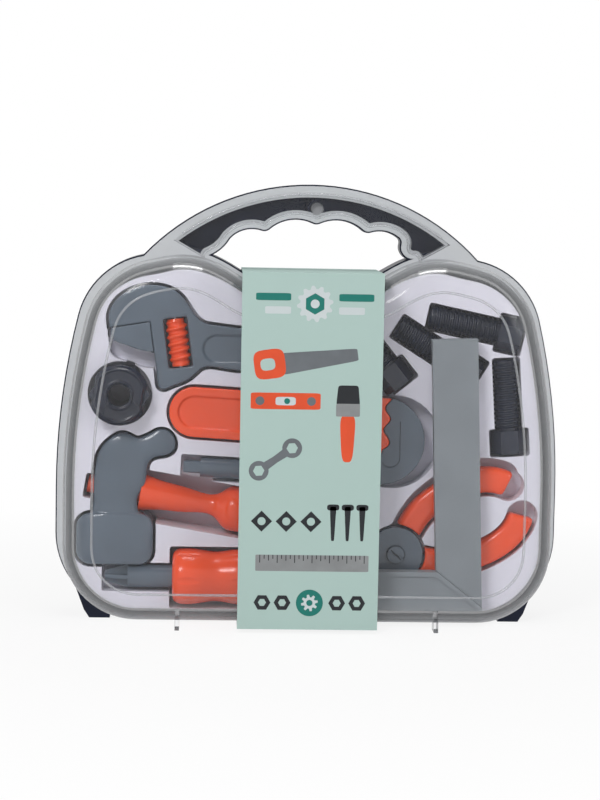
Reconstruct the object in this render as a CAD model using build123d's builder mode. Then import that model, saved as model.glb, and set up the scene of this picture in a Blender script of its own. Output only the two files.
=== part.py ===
"""Toy tool case: a clear domed lid hinged to a black rear shell, with a formed tray of toy tools."""
import os
from math import atan2, cos, radians, sin, sqrt, tan

from build123d import *

os.makedirs("parts", exist_ok=True)

# Case, seen from the front, all in millimetres
case_width = 280.0
body_bottom = 3.0
corner_radius = 46.0
widest_height = 75.0
shoulder_x = 128.3
shoulder_height = 171.0
root_x = 93.5
root_height = 204.0
hump_x = 74.0
hump_height = 207.3
slope_x = 57.0
slope_height = 205.2
slope_foot_x = 39.6
slope_foot_height = 196.4
valley_height = 190.0

# Case, front to back
lid_depth = 36.0
rear_depth = 30.0
shell_wall = 1.8
parting_gap = 0.15
flange_thickness = 1.9
rim_step = 0.8
dome_side_inset = 4.5
dome_top_inset = 2.0
dome_bottom_inset = 0.4
dome_rounding = 17.0
rear_rounding = 8.0

# Carrying handle
handle_radius = 127.0
handle_center = 117.5
handle_base = 198.0
handle_depth = 12.0
handle_outer_band = 4.5
handle_inner_band = 2.8
handle_end_x = 79.0
handle_end_height = 215.0
handle_end_lean = 11.0
grip_shift = 2.5
grip_corner_x = 57.0
grip_corner_height = 205.4
grip_turn_x = 50.3
grip_turn_height = 209.6
grip_end_reach = 48.5
grip_end_height = 215.0
lobe_pitch = 28.0
lobe_middle = 13.5
outer_lobe_reach = 38.5
outer_lobe_height = 220.6
outer_cusp_height = 219.2
inner_lobe_height = 226.4
inner_cusp_height = 223.6
cusp_rounding = 4.0

# Feet, fins, hinge and snap
foot_kink_x = 129.0
foot_kink_height = 16.5
foot_toe_x = 124.5
foot_toe_height = 4.5
foot_outer_x = 121.5
foot_inner_x = 110.0
foot_depth = 22.0
fin_x = 71.5
fin_thickness = 2.4
fin_front = 33.0
fin_back = 22.0
hinge_x = 60.0
hinge_height = 2.6
knuckle_radius = 2.0
knuckle_width = 12.0
knuckle_gap = 0.3
outer_knuckle_width = 7.0
hinge_pin_radius = 1.0
pin_clearance = 0.05
leaf_reach = 6.0
snap_height = 232.0
peg_radius = 3.4
peg_reach = 4.0
socket_wall = 1.4
socket_depth = 6.5
snap_clearance = 0.3

# Tray
tray_side_inset = 7.6
tray_top_inset = 10.5
tray_bottom_inset = 2.8
tray_deck = 3.0
tray_wall = 1.2
seat_gap = 0.3
pocket_room = 1.6

# Card band
card_width = 77.0
card_thickness = 0.6
card_gap = 0.3
card_top = 197.8
card_top_seam = 10.0
card_top_seam_gap = 0.6
card_front_start = 3.0
card_back_start = 7.0

# Adjustable wrench
wrench_x = -41.0
wrench_z = 153.3
wrench_back = -8.0
wrench_thickness = 12.0
wrench_handle_half = 11.8
wrench_end_reach = 47.5
wrench_end_radius = 13.5
wrench_hex = 12.0
wrench_recess = 1.2
wrench_recess_half = 7.6
wrench_recess_start = -18.4
wrench_recess_length = 46.0
wrench_head_length = 71.0
wrench_head_shares = (
    (-0.993, 0.155), (-1.0, 0.232), (-0.97, 0.334), (-0.91, 0.406), (-0.794, 0.469), (-0.678, 0.494), (-0.57, 0.483),
    (-0.483, 0.451), (-0.428, 0.406), (-0.365, 0.321), (-0.301, 0.237), (-0.207, 0.192),
)
wrench_chin_shares = (
    (-0.19, -0.14), (-0.265, -0.155), (-0.32, -0.203), (-0.396, -0.259), (-0.513, -0.307),
    (-0.565, -0.325), (-0.6, -0.31),
)
wrench_slide_tail = 15.4
jaw_mouth_x = -47.9
jaw_mouth_z = 14.7
jaw_lean = 7.6
jaw_shares = ((-0.978, 0.155), (-0.969, 0.062), (-0.859, 0.015), (-0.749, -0.021))
jaw_foot_drop = 16.8
jaw_gap = 0.2
jaw_travel = 8.0
rack_thickness = 5.0
rack_top = -10.7
rack_length = 15.0
rack_bite = 1.6
rack_clearance = 0.6
worm_x = -32.4
worm_z = 3.1
worm_window_width = 13.3
worm_window_length = 28.0
worm_length = 26.6
worm_core = 4.9
worm_crest = 6.2
worm_pitch = 4.2
worm_pin_radius = 1.4
worm_pin_hold = 5.0

# Pipe wrench
pipe_x = 44.0
pipe_z = 111.6
pipe_lean = -3.3
pipe_back = -10.0
pipe_thickness = 15.0
pipe_length = 122.0
pipe_handle_half = 14.0
pipe_recess_length = 96.0
pipe_heel_half = 15.5
pipe_heel_length = 26.0
pipe_recess = 1.5
pipe_rim = 5.0
tooth_pitch = 11.6
tooth_height = 3.4
hook_radius = 24.7
tooth_first = 21.3
tooth_count = 7
hook_x = -2.5
hook_z = -8.7
hook_left = -8.0
hook_thickness = 13.0
hook_gap = 0.3
hook_travel = 7.0
shank_radius = 5.0
shank_drop = 24.0
shank_end = -38.0
lug_end = -31.0
lug_width = 4.0
lug_radius = 7.4
thumb_nut_width = 10.0
thumb_nut_radius = 7.2
thumb_nut_gap = 0.3
running_gap = 0.08

# Claw hammer
hammer_x = -95.0
hammer_z = 71.0
hammer_lean = -9.5
hammer_back = -20.0
hammer_thickness = 24.0
hammer_head_x = -107.0
hammer_head_z = 50.0
hammer_head_height = 57.4
hammer_head_shares = (
    (-0.218, 0.000), (-0.226, 0.183), (-0.220, 0.315), (-0.220, 0.453), (-0.207, 0.610),
    (-0.183, 0.739), (-0.125, 0.845), (-0.038, 0.925), (0.057, 0.965), (0.134, 0.944), (0.202, 0.916),
    (0.265, 0.930), (0.328, 0.960), (0.395, 0.997), (0.472, 1.000), (0.540, 0.953), (0.571, 0.875),
    (0.557, 0.800), (0.495, 0.753), (0.390, 0.732), (0.321, 0.690), (0.298, 0.610), (0.274, 0.453),
    (0.206, 0.321), (0.220, 0.185), (0.235, 0.000),
)
poll_x = -107.6
poll_z = 45.6
poll_width = 43.0
poll_height = 29.0
poll_thickness = 30.0
poll_rounding = 8.0
claw_slot = 4.0
claw_slot_shares = ((-0.25, 0.72), (0.7, 0.72), (0.7, 1.2), (-0.25, 1.2))
hammer_handle_start = 1.5
hammer_handle_length = 122.0
hammer_handle_shares = (
    (0.0, 0.088), (0.1, 0.068), (0.22, 0.057), (0.36, 0.06), (0.4, 0.095), (0.45, 0.106), (0.52, 0.098),
    (0.6, 0.107), (0.68, 0.098), (0.76, 0.107), (0.85, 0.1), (0.94, 0.106), (1.0, 0.06),
)
tenon_radius = 5.4
tenon_gap = 0.1
tenon_length = 30.0

# Screwdriver and bit
driver_x = -75.0
driver_z = 24.0
driver_depth = -2.0
driver_length = 68.0
driver_handle_shares = (
    (0.0, 0.16), (0.025, 0.215), (0.12, 0.235), (0.25, 0.222), (0.36, 0.207), (0.5, 0.228), (0.68, 0.235),
    (0.86, 0.236), (0.97, 0.2), (1.0, 0.12),
)
flute_radius = 4.0
flute_count = 6
flute_sink = 0.8
shaft_radius = 6.6
shaft_length = 38.0
shaft_hold = 16.0
shaft_gap = 0.05
tip_length = 13.0
tip_end_radius = 3.2
tip_slot = 2.0
bit_x = -60.0
bit_z = 86.4
bit_lean = -2.8
bit_depth = -1.0
bit_radius = 5.6
bit_length = 24.0
bit_tip_width = 6.8
bit_tip_length = 9.5
bit_neck_radius = 3.4
bit_neck_length = 5.0
bit_hex = 8.0
bit_hex_length = 9.0

# Pliers
pliers_x = 50.8
pliers_z = 38.5
pliers_lean = 25.2
pliers_back = -10.0
pliers_thickness = 13.0
pliers_disc = 15.5
pliers_lap = 0.2
pliers_jaw_length = 42.0
pliers_mouth = 0.3
pliers_reach = 74.0
pliers_arm_shares = ((0.06, 0.05), (0.165, 0.125), (0.28, 0.2), (0.47, 0.258), (0.7, 0.272), (0.88, 0.225), (1.0, 0.13))
pliers_grip_half = 7.4
pliers_grip_rounding = 3.5
pliers_collar_gap = 1.0
pliers_jaw_shares = ((-1.0, 0.107), (-0.7, 0.24), (-0.4, 0.29), (-0.2, 0.29))
tang_half = 3.0
tang_thickness = 5.0
tang_gap = 0.1
pivot_radius = 3.0
pivot_head_radius = 4.8
pivot_head = 1.6
pivot_slot = 1.2
pivot_gap = 0.1

# Try square
square_x = 98.9
square_z = 5.7
square_back = 8.0
stock_length = 100.0
stock_width = 25.2
stock_thickness = 8.0
stock_rim = 2.6
stock_recess = 1.0
blade_lean = 2.3
blade_width = 25.4
blade_length = 151.0
blade_thickness = 7.0
mitre_low = 5.5
mitre_gap = 0.1
tongue_inset = 4.0
tongue_top = 22.0
tongue_depth = 1.5
tongue_back = 2.0
tongue_thickness = 3.0
pad_drop = 0.3
pad_places = ((86.0, 15.5, 22.0, 12.0), (86.5, 113.0, 14.0, 28.0), (1.3, 20.0, 7.0, 18.0))

# Bolts and nuts
bolt_depth = -4.0
bolt_radius = 6.4
bolt_length = 53.0
bolt_head_length = 13.0
bolt_head_flats = 16.8
bolt_places = ((18.6, 175.3, -51.0), (49.4, 167.4, -32.0), (66.8, 173.2, -11.7), (110.3, 149.4, -86.0))
bolt_chamfer = 1.0
nut_x = -105.3
nut_z = 127.6
nut_back = -15.0
nut_flats = 29.0
nut_height = 9.0
nut_bore_radius = 6.2
nut_count = 3
nut_spacing = 0.1
nut_boss_radius = 8.4
nut_boss = 0.8
nut_pocket_radius = 18.0

overrun = 1.0

travel_steps = 3
redraw_steps = 10
pliers_swing = 4.5

front_reach = lid_depth + card_gap + card_thickness
rear_reach = rear_depth + card_gap + card_thickness
parting_y = (front_reach - rear_reach) / 2


def at(depth):
    """Plane that faces forward, the given distance in front of the parting plane."""
    return Plane.XZ.offset(depth - parting_y)


def lay(x, z, depth, angle):
    """Frame of a tool: x along the tool, y up the picture, z towards the front."""
    run = radians(angle)
    return Plane(origin=(x, parting_y - depth, z), x_dir=(cos(run), 0, sin(run)), z_dir=(0, -1, 0))


def redrawn(wire):
    """Closed line with each of its offset curves replaced by a spline through points on it."""
    edges = []
    for edge in wire.edges():
        if edge.geom_type == GeomType.OFFSET:
            points = [edge @ (step / redraw_steps) for step in range(redraw_steps + 1)]
            edges.append(Edge.make_spline(points, tangents=[edge % 0, edge % 1]))
        else:
            edges.append(edge)
    return Wire(edges)


def grown(outline, amount, kind=Kind.ARC):
    """Outline made larger all round, or smaller by a negative amount."""
    with BuildSketch() as larger:
        add(outline)
        offset(amount=amount, kind=kind)
    area = Sketch()
    for face in larger.faces():
        area += Face(redrawn(face.outer_wire()), [redrawn(hole) for hole in face.inner_wires()])
    return area


def case_outline(side_in, top_in, bottom_in):
    """Body outline without handle and feet, drawn in from the flange by the three insets."""
    half = case_width / 2 - side_in
    low = body_bottom + bottom_in
    corner = corner_radius - side_in
    neck = (shoulder_x - side_in, shoulder_height - top_in / 2)
    crown = (root_x - side_in / 2, root_height - top_in)
    hump = (hump_x, hump_height - top_in)
    slope = (slope_x, slope_height - top_in)
    foot = (slope_foot_x, slope_foot_height - top_in)
    with BuildSketch() as outline:
        with BuildLine():
            floor = Line((0, low), (half - corner, low))
            bend = JernArc(floor @ 1, (1, 0), corner, 90)
            rise = Line(bend @ 1, (half, widest_height))
            side = TangentArc(rise @ 1, neck, tangent=(0, 1))
            shoulder = TangentArc(side @ 1, crown, tangent=side % 1)
            Spline(
                shoulder @ 1, hump, slope, foot, (0, valley_height - top_in),
                tangents=(shoulder % 1, (-1, 0)),
            )
            mirror(about=Plane.YZ)
        make_face()
    return outline.sketch


def grip_opening(grow):
    """Finger opening of the handle, with four scallops along its top."""
    corner = (grip_corner_x, grip_corner_height)
    turn = (grip_turn_x, grip_turn_height)
    left_end = (grip_shift - grip_end_reach, grip_end_height)
    left_cusp = (grip_shift - lobe_pitch, outer_cusp_height)
    middle = (grip_shift, inner_cusp_height)
    right_cusp = (grip_shift + lobe_pitch, outer_cusp_height)
    right_end = (grip_shift + grip_end_reach, grip_end_height)
    with BuildSketch() as opening:
        with BuildLine():
            ThreePointArc((-corner[0], corner[1]), (-turn[0], turn[1]), left_end)
            ThreePointArc(left_end, (grip_shift - outer_lobe_reach, outer_lobe_height), left_cusp)
            ThreePointArc(left_cusp, (grip_shift - lobe_middle, inner_lobe_height), middle)
            ThreePointArc(middle, (grip_shift + lobe_middle, inner_lobe_height), right_cusp)
            ThreePointArc(right_cusp, (grip_shift + outer_lobe_reach, outer_lobe_height), right_end)
            ThreePointArc(right_end, turn, corner)
            Polyline(corner, (corner[0], valley_height), (-corner[0], valley_height), (-corner[0], corner[1]))
        make_face()
        cusps = opening.vertices().filter_by(lambda v: v.Y > grip_corner_height + cusp_rounding)
        fillet(cusps, radius=cusp_rounding)
    return grown(opening.sketch, grow) if grow else opening.sketch


def handle_ring(outer_in, grip_grow, base):
    """Handle between its outer arc and the finger opening, above a level line."""
    with BuildSketch() as ring:
        with Locations((0, handle_center)):
            Circle(handle_radius - outer_in)
        top = handle_center + handle_radius + overrun
        with Locations((0, (base + top) / 2)):
            Rectangle(2 * handle_radius, top - base, mode=Mode.INTERSECT)
        add(grip_opening(grip_grow), mode=Mode.SUBTRACT)
    return ring.sketch


def foot_outline():
    """The two corner feet, each from the kink in the side down to the ground."""
    with BuildSketch() as feet:
        with BuildLine():
            Polyline(
                (foot_kink_x, foot_kink_height), (foot_toe_x, foot_toe_height), (foot_outer_x, 0),
                (foot_inner_x, 0), (foot_inner_x, foot_kink_height), close=True,
            )
        make_face()
        mirror(about=Plane.YZ)
    return feet.sketch


def channel_outline(outer_in, grip_grow, end_in):
    """Raised channel of the front handle half, cut off along a leaning line at each foot."""
    lean = (handle_end_x - grip_corner_x) / handle_end_lean
    with BuildSketch() as channel:
        add(handle_ring(outer_in, grip_grow, handle_base))
        with BuildLine():
            reach = case_width / 2
            low = (grip_corner_x - end_in, grip_corner_height - handle_end_lean / 4)
            high = (handle_end_x - end_in, handle_end_height)
            slope = (high[1] - low[1]) / (high[0] - low[0])
            far = (reach, high[1] + slope * (reach - high[0]))
            near = (0, low[1] - slope * low[0])
            Polyline(far, near, (0, handle_base - reach), (reach, handle_base - reach), close=True)
        make_face(mode=Mode.SUBTRACT)
        with BuildLine():
            Polyline(
                (-far[0], far[1]), near, (0, handle_base - reach), (-reach, handle_base - reach),
                close=True,
            )
        make_face(mode=Mode.SUBTRACT)
    return channel.sketch


def flange_outline():
    """Outline of the lid's flange, body and handle in one."""
    with BuildSketch() as whole:
        add(case_outline(0, 0, 0))
        add(handle_ring(0, 0, handle_base))
    return whole.sketch


hinge_plane = Plane(origin=(0, parting_y, hinge_height), x_dir=(0, 1, 0), z_dir=(1, 0, 0))


def hinge_bar(radius, middle, width):
    """Round bar on the hinge axis, centred on one x."""
    with BuildPart() as bar:
        with BuildSketch(hinge_plane.offset(middle - width / 2)):
            Circle(radius)
        extrude(amount=width)
    return bar.part


outer_knuckle_shift = knuckle_width / 2 + knuckle_gap + outer_knuckle_width / 2
hinge_span = knuckle_width + 2 * (knuckle_gap + outer_knuckle_width)
notch_radius = knuckle_radius + knuckle_gap
pin_bore = hinge_pin_radius + pin_clearance
sides = (-1, 1)

# Room inside the rear shell, open at the front
with BuildPart() as rear_room:
    with BuildSketch(at(overrun)):
        add(grown(case_outline(0, 0, 0), rim_step - shell_wall))
    extrude(amount=shell_wall - rear_depth - overrun)
    fillet(rear_room.faces().sort_by(Axis.Y)[-1].edges(), radius=rear_rounding - shell_wall)

# Rear shell: rounded tub, hollow handle half, corner feet, snap socket and outer hinge knuckles
with BuildPart() as rear_shell:
    with BuildSketch(at(0)):
        add(grown(case_outline(0, 0, 0), rim_step))
    extrude(amount=-rear_depth)
    fillet(rear_shell.faces().sort_by(Axis.Y)[-1].edges(), radius=rear_rounding)
    with BuildSketch(at(0)):
        add(foot_outline())
    extrude(amount=-foot_depth)
    with BuildSketch(at(0)):
        add(handle_ring(-rim_step, -rim_step, handle_base))
    extrude(amount=-handle_depth)
    with BuildSketch(at(0)):
        add(handle_ring(shell_wall, shell_wall, handle_base))
        add(case_outline(-shell_wall, -shell_wall, 0), mode=Mode.SUBTRACT)
    extrude(amount=shell_wall - handle_depth, mode=Mode.SUBTRACT)
    add(rear_room.part, mode=Mode.SUBTRACT)
    with BuildSketch(at(0)):
        with Locations((grip_shift, snap_height)):
            Circle(peg_radius + snap_clearance + socket_wall)
    extrude(amount=shell_wall - handle_depth)
    with BuildSketch(at(0)):
        with Locations((grip_shift, snap_height)):
            Circle(peg_radius + snap_clearance)
    extrude(amount=-socket_depth, mode=Mode.SUBTRACT)
    for side in sides:
        add(hinge_bar(notch_radius, side * hinge_x, knuckle_width + 2 * knuckle_gap), mode=Mode.SUBTRACT)
        for step in sides:
            middle = side * hinge_x + step * outer_knuckle_shift
            add(hinge_bar(knuckle_radius, middle, outer_knuckle_width))
            with BuildSketch(at(0)):
                with Locations((middle, (hinge_height + body_bottom + shell_wall) / 2)):
                    Rectangle(outer_knuckle_width, body_bottom + shell_wall - hinge_height)
            extrude(amount=-leaf_reach)
        add(hinge_bar(pin_bore, side * hinge_x, hinge_span + overrun), mode=Mode.SUBTRACT)
rear_shell.part.label = "rear_shell"
export_step(rear_shell.part, "parts/rear_shell.step")

# Clear lid: flange, dome, raised panel, handle channel, fins, snap peg and middle hinge knuckles
flange_plane = at(parting_gap)
with BuildPart() as dome_room:
    with BuildSketch(at(-overrun)):
        add(grown(case_outline(dome_side_inset, dome_top_inset, dome_bottom_inset), -shell_wall))
    extrude(amount=overrun + lid_depth - shell_wall)
    fillet(dome_room.faces().sort_by(Axis.Y)[0].edges(), radius=dome_rounding - shell_wall)
with BuildPart() as channel_room:
    with BuildSketch(at(-overrun)):
        add(channel_outline(handle_outer_band + shell_wall, handle_inner_band + shell_wall, shell_wall))
    extrude(amount=overrun + handle_depth - shell_wall)
with BuildPart() as front_lid:
    with BuildSketch(flange_plane):
        add(case_outline(dome_side_inset, dome_top_inset, dome_bottom_inset))
    extrude(amount=lid_depth - parting_gap)
    fillet(front_lid.faces().sort_by(Axis.Y)[0].edges(), radius=dome_rounding)
    with BuildSketch(flange_plane):
        add(flange_outline())
    extrude(amount=flange_thickness)
    with BuildSketch(flange_plane):
        add(channel_outline(handle_outer_band, handle_inner_band, 0))
    extrude(amount=handle_depth - parting_gap)
    for side in sides:
        with BuildSketch(Plane.YZ.offset(side * fin_x - fin_thickness / 2)):
            with BuildLine():
                Polyline(
                    (parting_y - fin_back, body_bottom + dome_rounding / 2), (parting_y - fin_back, 0),
                    (parting_y - fin_front, 0), (parting_y - fin_front, dome_rounding), close=True,
                )
            make_face()
        extrude(amount=fin_thickness)
    add(dome_room.part, mode=Mode.SUBTRACT)
    add(channel_room.part, mode=Mode.SUBTRACT)
    with BuildSketch(at(-peg_reach)):
        with Locations((grip_shift, snap_height)):
            Circle(peg_radius)
    extrude(amount=peg_reach + handle_depth - shell_wall)
    for side in sides:
        for step in sides:
            middle = side * hinge_x + step * outer_knuckle_shift
            add(
                hinge_bar(notch_radius, middle, outer_knuckle_width + 2 * knuckle_gap),
                mode=Mode.SUBTRACT,
            )
        add(hinge_bar(knuckle_radius, side * hinge_x, knuckle_width))
        with BuildSketch(at(0)):
            with Locations((side * hinge_x, (hinge_height + body_bottom + shell_wall) / 2)):
                Rectangle(knuckle_width, body_bottom + shell_wall - hinge_height)
        extrude(amount=leaf_reach)
        add(hinge_bar(pin_bore, side * hinge_x, hinge_span + overrun), mode=Mode.SUBTRACT)
front_lid.part.label = "front_lid"
export_step(front_lid.part, "parts/front_lid.step")


def placed(outline, x, z, angle):
    """Outline of a tool carried to its place in the case, seen from the front."""
    return outline.moved(Location((x, z, 0), (0, 0, angle)))


def across(frame, along):
    """Plane square to a tool, at a distance along it; its x points forward and its y down."""
    return Plane(
        origin=frame.origin + frame.x_dir * along, x_dir=frame.z_dir, z_dir=frame.x_dir,
    )


def turned(frame, points, smooth):
    """Round body turned about a tool's length, from points of distance and radius."""
    first = points[0]
    last = points[-1]
    with BuildPart() as body:
        with BuildSketch(frame):
            with BuildLine():
                if smooth:
                    Spline(points)
                else:
                    Polyline(points)
                Polyline(last, (last[0], 0), (first[0], 0), first)
            make_face()
        revolve(axis=Axis(frame.origin, frame.x_dir))
    return body.part


def sized(shares, size):
    """Points from a table of shares of one size."""
    return [(along * size, up * size) for along, up in shares]


jaw_run = tan(radians(jaw_lean))
jaw_mouth = (jaw_mouth_x, jaw_mouth_z)
jaw_foot = (jaw_mouth_x + jaw_foot_drop * jaw_run, jaw_mouth_z - jaw_foot_drop)
slide_end = (jaw_foot[0] + wrench_slide_tail * jaw_run, jaw_foot[1] - wrench_slide_tail)


def wrench_outline():
    """Adjustable wrench without its movable jaw: head, chin, handle and round end."""
    brow = sized(wrench_head_shares, wrench_head_length)
    chin = sized(wrench_chin_shares, wrench_head_length)
    with BuildSketch() as outline:
        with BuildLine():
            Spline(brow, tangents=((0, 1), (1, 0)), tangent_scalars=(0.6, 1))
            Polyline(
                brow[-1], (0, wrench_handle_half), (wrench_end_reach, wrench_handle_half),
                (wrench_end_reach, -wrench_handle_half), (0, -wrench_handle_half), chin[0],
            )
            Spline(chin + [slide_end], tangents=((-1, 0), (0, 1)), tangent_scalars=(1, 0.6))
            Polyline(slide_end, jaw_foot, jaw_mouth, brow[0])
        make_face()
        with Locations((wrench_end_reach, 0)):
            Circle(wrench_end_radius)
    return outline.sketch


def jaw_outline():
    """Movable jaw, against the mouth above and the slide line at its right."""
    tips = sized(jaw_shares, wrench_head_length)
    with BuildSketch() as outline:
        with BuildLine():
            Line(jaw_mouth, tips[0])
            Spline(tips + [jaw_foot])
            Line(jaw_foot, jaw_mouth)
        make_face()
    return grown(outline.sketch, -jaw_gap, Kind.INTERSECTION)


wrench_frame = lay(wrench_x, wrench_z, wrench_back, 0)
worm_frame = lay(
    wrench_x + worm_x, wrench_z + worm_z, wrench_back + wrench_thickness / 2, jaw_lean - 90,
)
slide_reach = (worm_x - jaw_mouth_x) * cos(radians(jaw_lean))
slide_reach += (worm_z - jaw_mouth_z) * sin(radians(jaw_lean))
rack_near = worm_crest + hook_gap
rack_far = slide_reach + jaw_gap + rack_bite

# Adjustable wrench body with its worm window, rack slot, recessed handle and hex hole
with BuildPart() as wrench_body:
    with BuildSketch(wrench_frame):
        add(wrench_outline())
    extrude(amount=wrench_thickness)
    for face in (wrench_frame, wrench_frame.offset(wrench_thickness - wrench_recess)):
        with BuildSketch(face):
            with Locations((wrench_recess_start + wrench_recess_length / 2, 0)):
                SlotOverall(wrench_recess_length, 2 * wrench_recess_half)
        extrude(amount=wrench_recess, mode=Mode.SUBTRACT)
    with BuildSketch(wrench_frame):
        with Locations((wrench_end_reach, 0)):
            RegularPolygon(wrench_hex / 2, 6, major_radius=False)
    extrude(amount=wrench_thickness, mode=Mode.SUBTRACT)
    with BuildSketch(worm_frame.offset(-wrench_thickness)):
        Rectangle(worm_window_length, worm_window_width)
    extrude(amount=2 * wrench_thickness, mode=Mode.SUBTRACT)
    with BuildSketch(worm_frame.offset(-rack_thickness / 2 - rack_clearance)):
        with Locations((rack_top + (rack_length + jaw_travel) / 2, -rack_far / 2)):
            Rectangle(rack_length + jaw_travel + 2 * rack_clearance, rack_far)
    extrude(amount=rack_thickness + 2 * rack_clearance, mode=Mode.SUBTRACT)
    with BuildSketch(across(worm_frame, -worm_window_length / 2 - worm_pin_hold)):
        Circle(worm_pin_radius + pin_clearance)
    extrude(amount=worm_window_length + 2 * worm_pin_hold, mode=Mode.SUBTRACT)
wrench_body.part.label = "wrench_body"
export_step(wrench_body.part, "parts/wrench_body.step")

# Movable jaw with the bar that reaches into the worm window
with BuildPart() as wrench_jaw:
    with BuildSketch(wrench_frame):
        add(jaw_outline())
    extrude(amount=wrench_thickness)
    with BuildSketch(worm_frame.offset(-rack_thickness / 2)):
        with Locations((rack_top + rack_length / 2, -(rack_near + rack_far) / 2)):
            Rectangle(rack_length, rack_far - rack_near)
    extrude(amount=rack_thickness)
wrench_jaw.part.label = "wrench_jaw"
export_step(wrench_jaw.part, "parts/wrench_jaw.step")

# Worm with round ridges, and the pin it turns on
worm_profile = [(-worm_length / 2, worm_core)]
for ridge in range(int(worm_length / worm_pitch)):
    start = -worm_length / 2 + (ridge + 0.25) * worm_pitch
    worm_profile.append((start, worm_core))
    worm_profile.append((start + worm_pitch / 4, worm_crest))
    worm_profile.append((start + worm_pitch / 2, worm_crest))
    worm_profile.append((start + 3 * worm_pitch / 4, worm_core))
worm_profile.append((worm_length / 2, worm_core))
with BuildPart() as wrench_worm:
    add(turned(worm_frame, worm_profile, False))
    with BuildSketch(across(worm_frame, -worm_length / 2)):
        Circle(worm_pin_radius + pin_clearance)
    extrude(amount=worm_length, mode=Mode.SUBTRACT)
wrench_worm.part.label = "wrench_worm"
export_step(wrench_worm.part, "parts/wrench_worm.step")
with BuildPart() as wrench_pin:
    with BuildSketch(across(worm_frame, -worm_window_length / 2 - worm_pin_hold + jaw_gap)):
        Circle(worm_pin_radius)
    extrude(amount=worm_window_length + 2 * (worm_pin_hold - jaw_gap))
wrench_pin.part.label = "wrench_pin"
export_step(wrench_pin.part, "parts/wrench_pin.step")

pipe_frame = lay(pipe_x, pipe_z, pipe_back, pipe_lean)


def behind_teeth(shift):
    """Area to the left of the wavy tooth line, down to the heel."""
    points = []
    for step in range(tooth_count):
        sway = tooth_height / 2 * (-1) ** (step + 1)
        points.append((sway + shift, tooth_first - step * tooth_pitch / 2))
    low = -pipe_heel_half - shift
    with BuildSketch() as area:
        with BuildLine():
            Spline(points)
            Polyline(
                points[-1], (points[-1][0], low), (-pipe_length - overrun, low),
                (-pipe_length - overrun, tooth_first), points[0],
            )
        make_face()
    return area.sketch


def pipe_outline():
    """Handle of the pipe wrench with its round end and toothed heel."""
    with BuildSketch() as outline:
        with Locations((-pipe_length / 2 + pipe_handle_half, 0)):
            SlotOverall(pipe_length + 2 * pipe_handle_half, 2 * pipe_handle_half)
        with Locations((0, 0)):
            Rectangle(2 * pipe_heel_length, 2 * pipe_heel_half)
        add(behind_teeth(0), mode=Mode.INTERSECT)
    return outline.sketch


def hook_outline():
    """Hook jaw: a disc cut back to the tooth line and to the heel."""
    with BuildSketch() as outline:
        with Locations((hook_x, hook_z)):
            Circle(hook_radius)
        with Locations((hook_left - hook_radius, hook_z)):
            Rectangle(2 * hook_radius, 2 * hook_radius, mode=Mode.SUBTRACT)
        add(behind_teeth(hook_gap), mode=Mode.SUBTRACT)
    return outline.sketch


lug_places = (lug_end, lug_end + lug_width + 2 * thumb_nut_gap + thumb_nut_width)
shank_middle = (pipe_thickness / 2, shank_drop)

# Pipe wrench handle with recessed faces and two lugs for the shank
with BuildPart() as pipe_handle:
    with BuildSketch(pipe_frame):
        add(pipe_outline())
    extrude(amount=pipe_thickness)
    for face in (pipe_frame, pipe_frame.offset(pipe_thickness - pipe_recess)):
        with BuildSketch(face):
            with Locations((-pipe_length + pipe_rim + pipe_recess_length / 2, 0)):
                SlotOverall(pipe_recess_length, 2 * (pipe_handle_half - pipe_rim))
        extrude(amount=pipe_recess, mode=Mode.SUBTRACT)
    for place in lug_places:
        with BuildSketch(across(pipe_frame, place)):
            with Locations(shank_middle):
                Circle(lug_radius)
            with Locations((pipe_thickness / 2, (shank_drop + pipe_handle_half) / 2 - overrun / 2)):
                Rectangle(2 * lug_radius, shank_drop - pipe_handle_half + overrun)
            with Locations(shank_middle):
                Circle(shank_radius + hook_gap, mode=Mode.SUBTRACT)
        extrude(amount=lug_width)
pipe_handle.part.label = "pipe_handle"
export_step(pipe_handle.part, "parts/pipe_handle.step")

# Hook jaw with its round shank
with BuildPart() as pipe_jaw:
    with BuildSketch(pipe_frame.offset((pipe_thickness - hook_thickness) / 2)):
        add(hook_outline())
    extrude(amount=hook_thickness)
    with BuildSketch(across(pipe_frame, shank_end)):
        with Locations(shank_middle):
            Circle(shank_radius)
    extrude(amount=hook_left - shank_end + overrun)
pipe_jaw.part.label = "pipe_jaw"
export_step(pipe_jaw.part, "parts/pipe_jaw.step")

# Thumb nut between the lugs
with BuildPart() as pipe_nut:
    with BuildSketch(across(pipe_frame, lug_end + lug_width + thumb_nut_gap)):
        with Locations(shank_middle):
            Circle(thumb_nut_radius)
            Circle(shank_radius + running_gap, mode=Mode.SUBTRACT)
    extrude(amount=thumb_nut_width)
pipe_nut.part.label = "pipe_nut"
export_step(pipe_nut.part, "parts/pipe_nut.step")

hammer_middle = hammer_back + hammer_thickness / 2
hammer_frame = lay(hammer_x, hammer_z, hammer_middle, hammer_lean)


def hammer_outline():
    """Claw, eye and neck of the hammer head."""
    points = sized(hammer_head_shares, hammer_head_height)
    with BuildSketch() as outline:
        with BuildLine():
            Spline(points)
            Line(points[-1], points[0])
        make_face()
    return outline.sketch


def hammer_grip(grow):
    """Turned hammer handle with its tenon, optionally thicker all round."""
    points = []
    for along, radius in sized(hammer_handle_shares, hammer_handle_length):
        points.append((along + hammer_handle_start - grow, radius + grow))
    ends = (hammer_handle_start - tenon_length, tenon_radius + grow)
    with BuildPart() as grip:
        add(turned(hammer_frame, points, True))
        with BuildSketch(across(hammer_frame, ends[0])):
            Circle(ends[1])
        extrude(amount=tenon_length + 2 * overrun)
    return grip.part


# Hammer handle, its tenon showing behind the head
with BuildPart() as hammer_handle:
    add(hammer_grip(0))
hammer_handle.part.label = "hammer_handle"
export_step(hammer_handle.part, "parts/hammer_handle.step")

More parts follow.
